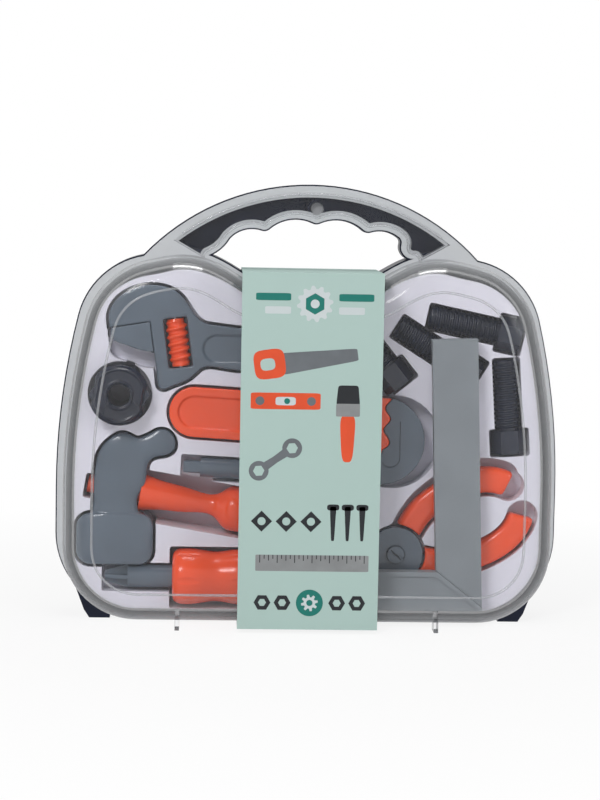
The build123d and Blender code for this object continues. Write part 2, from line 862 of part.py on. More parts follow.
# Hammer head with a split claw and a heavy rounded poll
with BuildPart() as hammer_head:
    with BuildSketch(lay(hammer_head_x, hammer_head_z, hammer_back, 0)):
        add(hammer_outline())
    extrude(amount=hammer_thickness)
    with BuildSketch(lay(poll_x, poll_z, hammer_middle - poll_thickness / 2, 0)):
        RectangleRounded(poll_width, poll_height, poll_rounding)
    extrude(amount=poll_thickness)
    with BuildSketch(lay(hammer_head_x, hammer_head_z, hammer_middle - claw_slot / 2, 0)):
        with BuildLine():
            Polyline(sized(claw_slot_shares, hammer_head_height), close=True)
        make_face()
    extrude(amount=claw_slot, mode=Mode.SUBTRACT)
    add(hammer_grip(tenon_gap), mode=Mode.SUBTRACT)
hammer_head.part.label = "hammer_head"
export_step(hammer_head.part, "parts/hammer_head.step")

driver_frame = lay(driver_x, driver_z, driver_depth, 0)
driver_widest = max(radius for along, radius in driver_handle_shares) * driver_length

# Screwdriver handle with lengthwise flutes
with BuildPart() as screwdriver_handle:
    add(turned(driver_frame, sized(driver_handle_shares, driver_length), True))
    with BuildSketch(across(driver_frame, 0)):
        with PolarLocations(driver_widest + flute_radius - flute_sink, flute_count):
            Circle(flute_radius)
    extrude(amount=driver_length, mode=Mode.SUBTRACT)
    with BuildSketch(across(driver_frame, 0)):
        Circle(shaft_radius + shaft_gap)
    extrude(amount=shaft_hold + shaft_gap, mode=Mode.SUBTRACT)
screwdriver_handle.part.label = "screwdriver_handle"
export_step(screwdriver_handle.part, "parts/screwdriver_handle.step")

# Screwdriver shaft with a cross point
with BuildPart() as screwdriver_shaft:
    shaft_profile = [
        (-shaft_length, tip_end_radius), (tip_length - shaft_length, shaft_radius), (shaft_hold, shaft_radius),
    ]
    add(turned(driver_frame, shaft_profile, False))
    with BuildSketch(across(driver_frame, -shaft_length)):
        notch = sqrt(2) * (tip_slot + shaft_radius) / 2
        with PolarLocations(notch, 4, start_angle=45, rotate=False):
            Rectangle(shaft_radius, shaft_radius)
    extrude(amount=tip_length, mode=Mode.SUBTRACT)
screwdriver_shaft.part.label = "screwdriver_shaft"
export_step(screwdriver_shaft.part, "parts/screwdriver_shaft.step")

# Screwdriver bit with a square tip and a hex drive end
bit_frame = lay(bit_x, bit_z, bit_depth, bit_lean)
with BuildPart() as driver_bit:
    with BuildSketch(across(bit_frame, -bit_tip_length)):
        RectangleRounded(bit_tip_width, bit_tip_width, bit_tip_width / 5)
    extrude(amount=bit_tip_length)
    with BuildSketch(across(bit_frame, 0)):
        Circle(bit_radius)
    extrude(amount=bit_length)
    with BuildSketch(across(bit_frame, bit_length)):
        Circle(bit_neck_radius)
    extrude(amount=bit_neck_length)
    with BuildSketch(across(bit_frame, bit_length + bit_neck_length)):
        RegularPolygon(bit_hex / 2, 6, major_radius=False)
    extrude(amount=bit_hex_length)
driver_bit.part.label = "driver_bit"
export_step(driver_bit.part, "parts/driver_bit.step")

pliers_frame = lay(pliers_x, pliers_z, pliers_back, pliers_lean)
lap_thickness = (pliers_thickness - pliers_lap) / 2
pliers_clear = pliers_disc + pliers_mouth


def arm_trace(side, half, last):
    """Band of even width along one arm, up to one point of its table."""
    points = [(along, side * up) for along, up in sized(pliers_arm_shares, pliers_reach)]
    with BuildSketch() as band:
        with BuildLine():
            path = Spline(points[:last])
        trace(line_width=2 * half)
        with Locations(path @ 1):
            Circle(half)
    return band.sketch


def jaw_trace(side):
    """One jaw of the pliers, on its own side of the mouth."""
    edge = [(along, side * up) for along, up in sized(pliers_jaw_shares, pliers_jaw_length)]
    with BuildSketch() as jaw:
        with BuildLine():
            Spline(edge)
            Polyline(
                edge[-1], (edge[-1][0], side * pliers_mouth / 2), (edge[0][0], side * pliers_mouth / 2),
                edge[0],
            )
        make_face()
    return jaw.sketch


def pliers_half(side, lap_start, other_start, bore):
    """Steel half of the pliers: jaw, lapped disc and the tang inside the grip."""
    with BuildPart() as half:
        with BuildSketch(pliers_frame):
            add(jaw_trace(-side))
        extrude(amount=pliers_thickness)
        with BuildSketch(pliers_frame.offset((pliers_thickness - tang_thickness) / 2)):
            add(arm_trace(side, tang_half, 5))
        extrude(amount=tang_thickness)
        with BuildSketch(pliers_frame.offset(other_start)):
            Circle(pliers_clear)
        extrude(amount=lap_thickness + pliers_lap, mode=Mode.SUBTRACT)
        with BuildSketch(pliers_frame.offset(lap_start)):
            Circle(pliers_disc)
        extrude(amount=lap_thickness)
        with BuildSketch(pliers_frame):
            Circle(bore)
        extrude(amount=pliers_thickness, mode=Mode.SUBTRACT)
    return half.part


def pliers_grip(side):
    """Soft grip over one arm, hollow for the tang."""
    points = [(along, side * up) for along, up in sized(pliers_arm_shares, pliers_reach)]
    with BuildPart() as grip:
        with BuildLine(pliers_frame.offset(pliers_thickness / 2)):
            path = Spline(points)
        with BuildSketch(Plane(origin=path @ 0, x_dir=pliers_frame.z_dir, z_dir=path % 0)):
            RectangleRounded(pliers_thickness, 2 * pliers_grip_half, pliers_grip_rounding)
        sweep(path=path)
        fillet(grip.faces().sort_by_distance(path @ 1)[0].edges(), radius=pliers_grip_rounding / 2)
        with BuildSketch(pliers_frame):
            Circle(pliers_clear + pliers_collar_gap)
        extrude(amount=pliers_thickness, mode=Mode.SUBTRACT)
        with BuildSketch(pliers_frame.offset((pliers_thickness - tang_thickness) / 2 - tang_gap)):
            add(arm_trace(side, tang_half + tang_gap, 5))
        extrude(amount=tang_thickness + 2 * tang_gap, mode=Mode.SUBTRACT)
    return grip.part


# Pliers: lower arm fixed in the tray, upper arm turning on the pivot screw
with BuildPart() as pliers_fixed:
    add(pliers_half(-1, 0, lap_thickness, pivot_radius + pin_clearance))
pliers_fixed.part.label = "pliers_fixed"
export_step(pliers_fixed.part, "parts/pliers_fixed.step")
with BuildPart() as pliers_moving:
    add(pliers_half(1, lap_thickness + pliers_lap, 0, pivot_radius + pivot_gap))
pliers_moving.part.label = "pliers_moving"
export_step(pliers_moving.part, "parts/pliers_moving.step")
with BuildPart() as pliers_grip_lower:
    add(pliers_grip(-1))
pliers_grip_lower.part.label = "pliers_grip_lower"
export_step(pliers_grip_lower.part, "parts/pliers_grip_lower.step")
with BuildPart() as pliers_grip_upper:
    add(pliers_grip(1))
pliers_grip_upper.part.label = "pliers_grip_upper"
export_step(pliers_grip_upper.part, "parts/pliers_grip_upper.step")

# Slotted pivot screw
with BuildPart() as pliers_screw:
    with BuildSketch(pliers_frame):
        Circle(pivot_radius)
    extrude(amount=pliers_thickness + pivot_gap)
    with BuildSketch(pliers_frame.offset(pliers_thickness + pivot_gap)):
        Circle(pivot_head_radius)
    extrude(amount=pivot_head)
    with BuildSketch(pliers_frame.offset(pliers_thickness + pivot_gap + pivot_head / 2)):
        Rectangle(2 * pivot_head_radius, pivot_slot, rotation=-45)
    extrude(amount=pivot_head, mode=Mode.SUBTRACT)
pliers_screw.part.label = "pliers_screw"
export_step(pliers_screw.part, "parts/pliers_screw.step")

square_frame = lay(square_x, square_z, square_back, 0)
blade_frame = lay(square_x, square_z + mitre_low, square_back, blade_lean)
mitre_turn = atan2(stock_width - mitre_low, blade_width + mitre_gap) + radians(blade_lean)


def stock_outline():
    """Stock of the try square, its right end cut on the mitre."""
    with BuildSketch() as outline:
        with BuildLine():
            Polyline(
                (-stock_length, 0), (0, 0), (0, mitre_low), (-blade_width - mitre_gap, stock_width),
                (-stock_length, stock_width), close=True,
            )
        make_face()
    return outline.sketch


def blade_outline():
    """Blade of the try square down to the mitre."""
    with BuildSketch() as outline:
        with BuildLine():
            Polyline(
                (0, 2 * mitre_gap), (0, blade_length), (-blade_width, blade_length),
                (-blade_width, blade_width * tan(mitre_turn) + 2 * mitre_gap),
                close=True,
            )
        make_face()
    return outline.sketch


def tongue_outline(grow):
    """Tongue of the blade inside the stock."""
    width = blade_width - 2 * tongue_inset
    with BuildSketch() as outline:
        with Locations((-blade_width / 2, (tongue_top - tongue_depth) / 2)):
            Rectangle(width + 2 * grow, tongue_top + tongue_depth + 2 * grow)
    return outline.sketch


# Blade of the try square with its tongue
with BuildPart() as square_blade:
    with BuildSketch(blade_frame):
        add(blade_outline())
    extrude(amount=blade_thickness)
    with BuildSketch(blade_frame.offset(tongue_back)):
        add(tongue_outline(0))
    extrude(amount=tongue_thickness)
square_blade.part.label = "square_blade"
export_step(square_blade.part, "parts/square_blade.step")

# Stock of the try square with a recessed face
with BuildPart() as square_stock:
    with BuildSketch(square_frame):
        add(stock_outline())
    extrude(amount=stock_thickness)
    with BuildSketch(square_frame.offset(stock_thickness - stock_recess)):
        add(stock_outline())
        offset(amount=-stock_rim, kind=Kind.INTERSECTION)
    extrude(amount=stock_recess, mode=Mode.SUBTRACT)
    with BuildSketch(blade_frame.offset(tongue_back - mitre_gap)):
        add(tongue_outline(mitre_gap))
    extrude(amount=tongue_thickness + 2 * mitre_gap, mode=Mode.SUBTRACT)
square_stock.part.label = "square_stock"
export_step(square_stock.part, "parts/square_stock.step")

# Four bolts with hex heads
with BuildPart() as bolts:
    for x, z, angle in bolt_places:
        bolt_frame = lay(x, z, bolt_depth, angle)
        shank = [
            (0, bolt_radius - bolt_chamfer), (bolt_chamfer, bolt_radius),
            (bolt_length - bolt_head_length / 2, bolt_radius),
        ]
        add(turned(bolt_frame, shank, False))
        with BuildSketch(across(bolt_frame, bolt_length - bolt_head_length)):
            RegularPolygon(bolt_head_flats / 2, 6, major_radius=False, rotation=30)
        extrude(amount=bolt_head_length)
bolts.part.label = "bolts"
export_step(bolts.part, "parts/bolts.step")

# Three nuts stacked in one pocket
with BuildPart() as nuts:
    for level in range(nut_count):
        base = nut_back + level * (nut_height + nut_boss + nut_spacing)
        with BuildSketch(lay(nut_x, nut_z, base, 0)):
            RegularPolygon(nut_flats / 2, 6, major_radius=False)
            Circle(nut_bore_radius, mode=Mode.SUBTRACT)
        extrude(amount=nut_height)
        with BuildSketch(lay(nut_x, nut_z, base + nut_height, 0)):
            Circle(nut_boss_radius)
            Circle(nut_bore_radius, mode=Mode.SUBTRACT)
        extrude(amount=nut_boss)
nuts.part.label = "nuts"
export_step(nuts.part, "parts/nuts.step")

# Hinge pins
for side, name in ((-1, "hinge_pin_left"), (1, "hinge_pin_right")):
    with BuildPart() as hinge_pin:
        add(hinge_bar(hinge_pin_radius, side * hinge_x, hinge_span))
    hinge_pin.part.label = name
    export_step(hinge_pin.part, "parts/" + name + ".step")

wrench_plan = placed(wrench_outline(), wrench_x, wrench_z, 0)
jaw_plans = []
for step in range(travel_steps):
    drop = jaw_travel * step / (travel_steps - 1)
    shift_x = drop * sin(radians(jaw_lean))
    shift_z = -drop * cos(radians(jaw_lean))
    jaw_plans.append(placed(jaw_outline(), wrench_x + shift_x, wrench_z + shift_z, 0))


def pipe_plan():
    """Everything the pipe wrench covers while its hook slides, in its own frame."""
    with BuildSketch() as plan:
        add(pipe_outline())
        with Locations((hook_x, hook_z), (hook_x + hook_travel, hook_z)):
            Circle(hook_radius)
        with Locations((hook_x + hook_travel / 2, hook_z)):
            Rectangle(hook_travel, 2 * hook_radius)
        with Locations(((shank_end + hook_left) / 2, -(shank_drop + lug_radius) / 2)):
            Rectangle(hook_left - shank_end + 2 * overrun, shank_drop + lug_radius)
    return plan.sketch


def pliers_plan(turn):
    """Everything one half of the pliers covers at one opening, in the pliers' frame."""
    with BuildSketch() as plan:
        if turn is None:
            add(arm_trace(-1, pliers_grip_half, len(pliers_arm_shares)))
            add(jaw_trace(1))
            Circle(pliers_disc)
        else:
            add(arm_trace(1, pliers_grip_half, len(pliers_arm_shares)), rotation=turn)
            add(jaw_trace(-1), rotation=turn)
            Circle(pliers_disc)
    return plan.sketch


def strip(along, half, rear, length):
    """Level strip in a tool's own frame, from one distance along it to another."""
    with BuildSketch() as area:
        with Locations((along + length / 2, rear)):
            Rectangle(length, 2 * half)
    return area.sketch


def disc(radius):
    """Round area about a tool's origin."""
    with BuildSketch() as area:
        Circle(radius)
    return area.sketch


def poll_area():
    """Outline of the hammer's poll about its own middle."""
    with BuildSketch() as area:
        RectangleRounded(poll_width, poll_height, poll_rounding)
    return area.sketch


handle_widest = max(radius for along, radius in hammer_handle_shares) * hammer_handle_length
bolt_head_radius = bolt_head_flats / sqrt(3)
pipe_shank_back = pipe_back + pipe_thickness / 2 - lug_radius

# Pockets of the tray: outline in place, and the depth the tool reaches back to
pockets = [(wrench_plan, wrench_back)]
pockets += [(plan, wrench_back) for plan in jaw_plans]
pockets.append((placed(pipe_plan(), pipe_x, pipe_z, pipe_lean), min(pipe_back, pipe_shank_back)))
pockets.append((placed(hammer_outline(), hammer_head_x, hammer_head_z, 0), hammer_back))
pockets.append((placed(poll_area(), poll_x, poll_z, 0), hammer_middle - poll_thickness / 2))
pockets.append((
    placed(
        strip(hammer_handle_start, handle_widest, 0, hammer_handle_length), hammer_x, hammer_z,
        hammer_lean,
    ),
    hammer_middle - handle_widest,
))
pockets.append((
    placed(
        strip(hammer_handle_start - tenon_length, tenon_radius, 0, tenon_length), hammer_x, hammer_z,
        hammer_lean,
    ),
    hammer_back,
))
pockets.append((
    placed(strip(0, driver_widest, 0, driver_length), driver_x, driver_z, 0), driver_depth - driver_widest,
))
pockets.append((
    placed(strip(-shaft_length, shaft_radius, 0, shaft_length), driver_x, driver_z, 0),
    driver_depth - shaft_radius,
))
bit_span = bit_tip_length + bit_length + bit_neck_length + bit_hex_length
pockets.append((
    placed(strip(-bit_tip_length, bit_radius, 0, bit_span), bit_x, bit_z, bit_lean), bit_depth - bit_radius,
))
for turn in (None, 0, pliers_swing):
    pockets.append((placed(pliers_plan(turn), pliers_x, pliers_z, pliers_lean), pliers_back))
for x, z, angle in bolt_places:
    pockets.append((placed(strip(0, bolt_radius, 0, bolt_length), x, z, angle), bolt_depth - bolt_radius))
    pockets.append((
        placed(strip(bolt_length - bolt_head_length, bolt_head_radius, 0, bolt_head_length), x, z, angle),
        bolt_depth - bolt_head_radius,
    ))
pockets.append((placed(disc(nut_pocket_radius - pocket_room), nut_x, nut_z, 0), nut_back))

# Tray: thin formed sheet with a skirt, tool pockets and three raised pads
tray_foot = shell_wall + seat_gap - rear_depth
with BuildPart() as tray_limit:
    with BuildSketch(at(square_back)):
        add(grown(case_outline(0, 0, 0), rim_step - shell_wall - seat_gap))
    extrude(amount=tray_foot - square_back)
    fillet(tray_limit.faces().sort_by(Axis.Y)[-1].edges(), radius=rear_rounding - shell_wall)
with BuildPart() as tool_tray:
    with BuildSketch(at(tray_deck)):
        add(case_outline(tray_side_inset, tray_top_inset, tray_bottom_inset))
    extrude(amount=tray_foot - tray_deck)
    with BuildSketch(at(tray_deck - tray_wall)):
        add(grown(case_outline(tray_side_inset, tray_top_inset, tray_bottom_inset), -tray_wall))
    extrude(amount=tray_foot - tray_deck + tray_wall, mode=Mode.SUBTRACT)
    for outline, reach in pockets:
        with BuildSketch(at(tray_deck)):
            add(grown(outline, pocket_room + tray_wall))
        extrude(amount=reach - seat_gap - tray_wall - tray_deck)
    for outline, reach in pockets:
        with BuildSketch(at(tray_deck + overrun)):
            add(grown(outline, pocket_room))
        extrude(amount=reach - seat_gap - tray_deck - overrun, mode=Mode.SUBTRACT)
    for x, z, width, height in pad_places:
        with BuildSketch(at(square_back - pad_drop)):
            with Locations((x, z)):
                Rectangle(width, height)
        extrude(amount=tray_deck - tray_wall / 2 + pad_drop - square_back)
    with BuildSketch(at(square_back)):
        add(case_outline(tray_side_inset, tray_top_inset, tray_bottom_inset))
    extrude(amount=tray_foot - square_back, mode=Mode.INTERSECT)
    add(tray_limit.part, mode=Mode.INTERSECT)
tool_tray.part.label = "tool_tray"
export_step(tool_tray.part, "parts/tool_tray.step")


def card_sheet(direction, reach, start, seam, low):
    """One bent card of the band: front or back, with its flaps over and under the case."""
    inner = reach - card_thickness
    with BuildPart() as sheet:
        with BuildSketch(Plane.YZ.offset(-card_width / 2)):
            with BuildLine():
                Polyline([
                    (parting_y - direction * depth, height) for depth, height in (
                        (start, low), (reach, low), (reach, card_top), (seam, card_top),
                        (seam, card_top - card_thickness), (inner, card_top - card_thickness),
                        (inner, low + card_thickness), (start, low + card_thickness),
                    )
                ], close=True)
            make_face()
        extrude(amount=card_width)
    return sheet.part


card_low = body_bottom - card_gap - card_thickness

# Card band: front card and rear card
with BuildPart() as card_front:
    add(card_sheet(1, front_reach, card_front_start, -card_top_seam, card_low))
card_front.part.label = "card_front"
export_step(card_front.part, "parts/card_front.step")
with BuildPart() as card_back:
    add(card_sheet(
        -1, rear_reach, card_back_start, card_top_seam + card_top_seam_gap, card_low - rim_step,
    ))
card_back.part.label = "card_back"
export_step(card_back.part, "parts/card_back.step")
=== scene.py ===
"""Looks of the toy tool case: finishes, printed card, threads, soft edges and studio."""

import logging
import math
from dataclasses import dataclass
from enum import Enum

import bmesh
import bpy
import numpy as np
from mathutils import Matrix, Vector


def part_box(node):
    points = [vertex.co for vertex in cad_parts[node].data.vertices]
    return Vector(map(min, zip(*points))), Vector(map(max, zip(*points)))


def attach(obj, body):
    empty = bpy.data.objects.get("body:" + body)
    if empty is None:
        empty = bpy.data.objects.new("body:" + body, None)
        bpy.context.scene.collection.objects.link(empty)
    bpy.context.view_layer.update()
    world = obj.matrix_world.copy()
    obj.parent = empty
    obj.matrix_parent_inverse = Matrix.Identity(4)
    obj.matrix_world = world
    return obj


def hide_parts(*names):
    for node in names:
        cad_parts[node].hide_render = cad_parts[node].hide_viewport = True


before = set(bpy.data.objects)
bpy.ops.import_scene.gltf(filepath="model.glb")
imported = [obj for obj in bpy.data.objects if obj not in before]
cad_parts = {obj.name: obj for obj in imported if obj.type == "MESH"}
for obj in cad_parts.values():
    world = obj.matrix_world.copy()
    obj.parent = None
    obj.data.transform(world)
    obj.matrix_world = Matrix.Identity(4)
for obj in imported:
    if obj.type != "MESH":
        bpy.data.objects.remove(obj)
log = logging.getLogger("tool_case")
MM = 0.001
FRONT = np.array([0.0, -1.0, 0.0])
WHITE = (1.0, 1.0, 1.0, 1.0)
SAME_CORNER = 1e-7
SAME_PLANE = 0.02 * MM
LEAST_COSINE = 0.05
SEEN_RAYS = ("Is Camera Ray", "Is Glossy Ray", "Is Transmission Ray")
LIGHT_RAYS = ("Is Shadow Ray", "Is Diffuse Ray")
Inputs = dict[str | int, object]


class Body(Enum):
    """Rigid bodies of the case that a dressed piece can ride on."""

    CASE = "case_base"
    LID = "lid"
    WRENCH_JAW = "wrench_jaw"
    WRENCH_WORM = "wrench_worm"
    PIPE_JAW = "pipe_jaw"
    PLIERS_ARM = "pliers_arm"


class Slot(Enum):
    """Slots of the record that the scene's own pieces belong to."""

    GREY = "tool_grey"
    ORANGE = "tool_orange"
    BLACK = "bolt_black"
    CARD = "card_mint"
    CLEAR = "clear_plastic"


@dataclass(frozen=True)
class Graph:
    """Small helper that adds and joins the shader nodes of one material or world."""

    tree: bpy.types.NodeTree

    def add(self, kind: str, inputs: Inputs | None = None, **values: object) -> bpy.types.Node:
        """Adds a node.

        Args:
            kind: Blender's name for the node type.
            inputs: Number or socket for each named or numbered input.
            values: Attributes to set on the node.

        Returns:
            The new node.
        """
        node = self.tree.nodes.new(kind)
        for name, value in values.items():
            setattr(node, name, value)
        self.feed(node, inputs or {})
        return node

    def feed(self, node: bpy.types.Node, inputs: Inputs) -> None:
        """Sets the inputs of a node that are given as numbers and joins those given as sockets.

        Args:
            node: The node.
            inputs: Number or socket for each named or numbered input.
        """
        for name, value in inputs.items():
            if isinstance(value, bpy.types.NodeSocket):
                self.tree.links.new(value, node.inputs[name])
            else:
                node.inputs[name].default_value = value

    def position(self) -> bpy.types.NodeSocket:
        """Returns the socket that holds a point's place on the piece."""
        return self.add("ShaderNodeTexCoord").outputs["Object"]

    def noise(self, scale: float, detail: float) -> bpy.types.NodeSocket:
        """Adds noise from 0 to 1 that stays with the piece: its waves per metre and its finer layers."""
        inputs = {"Vector": self.position(), "Scale": scale, "Detail": detail}
        return self.add("ShaderNodeTexNoise", inputs).outputs["Fac"]

    def bump(self, height: bpy.types.NodeSocket, strength: float, distance: float) -> bpy.types.NodeSocket:
        """Adds unevenness: a height from 0 to 1, the share of it that shows, and its size in metres."""
        inputs = {"Height": height, "Strength": strength, "Distance": distance}
        return self.add("ShaderNodeBump", inputs).outputs["Normal"]

    def ranged(self, value: bpy.types.NodeSocket, **limits: float) -> bpy.types.NodeSocket:
        """Maps a value to another range. Its limits, such as to_min, are given where they aren't 0 or 1."""
        inputs = {name.replace("_", " ").title(): limit for name, limit in limits.items()}
        return self.add("ShaderNodeMapRange", {"Value": value, **inputs}).outputs["Result"]

    def calculated(self, operation: str, first: object, second: object) -> bpy.types.NodeSocket:
        """Works out one sum of two numbers or sockets, by Blender's name for the operation."""
        return self.add("ShaderNodeMath", {0: first, 1: second}, operation=operation).outputs[0]

    def rays(self, *kinds: str) -> bpy.types.NodeSocket:
        """Adds a socket that is 1 for some kinds of ray and 0 for the others.

        Args:
            kinds: Names of the light path's outputs.

        Returns:
            The socket.
        """
        path = self.add("ShaderNodeLightPath")
        chosen = path.outputs[kinds[0]]
        for kind in kinds[1:]:
            chosen = self.calculated("MAXIMUM", chosen, path.outputs[kind])
        return chosen

    def blend(self, share: bpy.types.NodeSocket, first: object, second: object) -> bpy.types.NodeSocket:
        """Mixes two shaders, by the second one's share."""
        return self.add("ShaderNodeMixShader", {"Fac": share, 1: first, 2: second}).outputs["Shader"]


@dataclass(frozen=True)
class Surface:
    """Material that is built once and shared after that.

    Args (fields):
        title: Name of the material.
    """

    title: str

    def build(self) -> bpy.types.Material:
        """Builds the node material, unless it is there.

        Returns:
            The material.
        """
        material = bpy.data.materials.get(self.title)
        if material is None:
            material = bpy.data.materials.new(self.title)
            material.use_nodes = True
            graph = Graph(material.node_tree)
            self.wire(graph, graph.tree.nodes["Principled BSDF"])
        return material

    def wire(self, graph: Graph, shader: bpy.types.Node) -> None:
        """Wires the nodes, which each kind of surface does in its own way."""
        raise NotImplementedError


@dataclass(frozen=True)
class Finish(Surface):
    """Moulded plastic or metal with fine unevenness in tone, gloss and surface.

    Args (fields):
        colour: Linear red, green and blue.
        gloss_low: Roughness of the smoothest spots.
        gloss_high: Roughness of the dullest spots.
        grain: Waves of surface unevenness per metre.
        relief: Height of the unevenness in metres.
        tone: Share by which the colour wanders.
        metal: 1 for bare metal, 0 for plastic.
        coat: Weight of a clear top coat.
        glow: Weight of light scattered under the surface.
        shine: Level of the mirror gloss, 0.5 for common plastic.
        broad: How many times longer the waves of tone and gloss are.
        layers: Finer layers of the broad and of the fine noise.
        tone_ends: Noise at which the colour is darkest and lightest.
        strength: Share of the unevenness that shows.
        coat_gloss: Roughness of the top coat.
        glow_reach: How far light scatters under the surface in metres.
    """

    colour: tuple[float, float, float]
    gloss_low: float
    gloss_high: float
    grain: float
    relief: float
    tone: float
    metal: float = 0.0
    coat: float = 0.0
    glow: float = 0.0
    shine: float = 0.32
    broad: float = 9.0
    layers: tuple[float, float] = (3.0, 4.0)
    tone_ends: tuple[float, float] = (0.3, 0.7)
    strength: float = 0.35
    coat_gloss: float = 0.08
    glow_reach: float = 0.003

    def wire(self, graph: Graph, shader: bpy.types.Node) -> None:
        """Wires colour, gloss and unevenness.

        Args:
            graph: The material.
            shader: Its main shader.
        """
        broad = graph.noise(self.grain / self.broad, self.layers[0])
        fine = graph.noise(self.grain, self.layers[1])
        ramp = graph.add("ShaderNodeValToRGB", {"Fac": broad})
        tones = (1.0 - self.tone, 1.0 + self.tone)
        for stop, position, tone in zip(ramp.color_ramp.elements, self.tone_ends, tones):
            stop.position = position
            stop.color = (*(min(1.0, channel * tone) for channel in self.colour), 1.0)
        graph.feed(shader, {
            "Base Color": ramp.outputs["Color"],
            "Roughness": graph.ranged(broad, to_min=self.gloss_low, to_max=self.gloss_high),
            "Normal": graph.bump(fine, self.strength, self.relief),
            "Metallic": self.metal,
            "Specular IOR Level": self.shine,
            "Coat Weight": self.coat,
            "Coat Roughness": self.coat_gloss,
        })
        if self.glow:
            reach = (self.glow_reach, self.glow_reach, self.glow_reach)
            graph.feed(shader, {"Subsurface Weight": self.glow, "Subsurface Radius": reach})


@dataclass(frozen=True)
class ClearFinish(Surface):
    """Thin clear plastic: see-through face on, with mirror gloss, and milky at a slant and on its flange. The
    milkiness that grows towards a slant is painted reflection.

    Args (fields):
        face_on: Milky share of the surface when looked at straight.
        slant: Milky share at a grazing angle, which paints a reflection.
        slant_start: How near to face on the milkiness starts, from 0 to 1.
        flange_share: Milky share on the flat flange.
        flange_front: Place of the flange's front face along Y in metres.
        tint: Colour of what passes through.
        milk: Colour of the milky share.
        milk_gloss: Its roughness.
        mirror: Brightness of the mirror gloss.
        mirror_gloss: Its roughness.
        density: Refractive index, which sets how the mirror gloss grows with the slant.
        waves: Slow waves of the moulded sheet per metre.
        layers: Finer layers of the waves.
        strength: Share of the waves that shows.
        relief: Their height in metres.
    """

    face_on: float = 0.008
    slant: float = 0.85
    slant_start: float = 0.2
    flange_share: float = 0.72
    flange_front: float = 0.0005
    tint: tuple[float, float, float] = (0.99, 0.99, 0.995)
    milk: tuple[float, float, float] = (0.62, 0.64, 0.66)
    milk_gloss: float = 0.12
    mirror: float = 0.32
    mirror_gloss: float = 0.05
    density: float = 1.4
    waves: float = 26.0
    layers: float = 1.0
    strength: float = 0.3
    relief: float = 0.0006

    def wire(self, graph: Graph, shader: bpy.types.Node) -> None:
        """Wires clear, glossy and milky plastic. Shadow and diffuse rays pass it freely.

        Args:
            graph: The material.
            shader: Its main shader, which is the milky share.
        """
        ripple = graph.bump(graph.noise(self.waves, self.layers), self.strength, self.relief)
        graph.feed(shader, {"Base Color": (*self.milk, 1.0), "Roughness": self.milk_gloss, "Normal": ripple})
        bare = graph.add("ShaderNodeBsdfTransparent", {"Color": (*self.tint, 1.0)}).outputs["BSDF"]
        gloss = graph.add("ShaderNodeBsdfGlossy", {
            "Color": (self.mirror, self.mirror, self.mirror, 1.0), "Roughness": self.mirror_gloss,
            "Normal": ripple,
        })
        edge = graph.add("ShaderNodeFresnel", {"IOR": self.density})
        clear = graph.blend(edge.outputs["Fac"], bare, gloss.outputs["BSDF"])
        seen = graph.blend(self.milk_and_painted_reflection_share(graph), clear, shader.outputs["BSDF"])
        passing = graph.blend(graph.rays(*LIGHT_RAYS), seen, bare)
        graph.feed(graph.tree.nodes["Material Output"], {"Surface": passing})

    def milk_and_painted_reflection_share(self, graph: Graph) -> bpy.types.NodeSocket:
        """Adds the share that shows milky: by slant everywhere, which paints a reflection, and steady on the
        flange.

        Args:
            graph: The material.

        Returns:
            Socket with the share.
        """
        facing = graph.add("ShaderNodeLayerWeight", {"Blend": self.slant_start}).outputs["Facing"]
        place = graph.add("ShaderNodeSeparateXYZ", {"Vector": graph.position()})
        behind = graph.calculated("GREATER_THAN", place.outputs["Y"], self.flange_front)
        # Milkiness that rises towards a slant stands in for the reflection of the bright surroundings:
        # painted reflection.
        painted_reflection_by_slant = graph.ranged(facing, to_min=self.face_on, to_max=self.slant)
        on_flange = graph.calculated("MULTIPLY", behind, self.flange_share)
        return graph.calculated("MAXIMUM", painted_reflection_by_slant, on_flange)


@dataclass(frozen=True)
class FloorFinish(Surface):
    """Pale floor that shows nearly white and keeps a soft shadow near the case.

    Args (fields):
        shade: Brightness of the floor as it is lit.
        gloss: Its roughness.
        near: Distance from the middle at which it starts to fade to white, in metres.
        far: Distance at which it is plain white.
        near_white: Share of plain white inside the near distance.
    """

    shade: float = 0.9
    gloss: float = 0.9
    near: float = 0.18
    far: float = 0.45
    near_white: float = 0.86

    def wire(self, graph: Graph, shader: bpy.types.Node) -> None:
        """Wires the lit floor and the white that rays see.

        Args:
            graph: The material.
            shader: Its main shader.
        """
        graph.feed(shader, {"Base Color": (self.shade, self.shade, self.shade, 1.0), "Roughness": self.gloss})
        white = graph.add("ShaderNodeEmission", {"Strength": 1.0}).outputs["Emission"]
        apart = graph.add("ShaderNodeVectorMath", {0: graph.position()}, operation="LENGTH").outputs["Value"]
        fade = graph.ranged(apart, from_min=self.near, from_max=self.far, to_min=self.near_white)
        share = graph.calculated("MULTIPLY", graph.rays(*SEEN_RAYS), fade)
        seen = graph.blend(share, shader.outputs["BSDF"], white)
        graph.feed(graph.tree.nodes["Material Output"], {"Surface": seen})


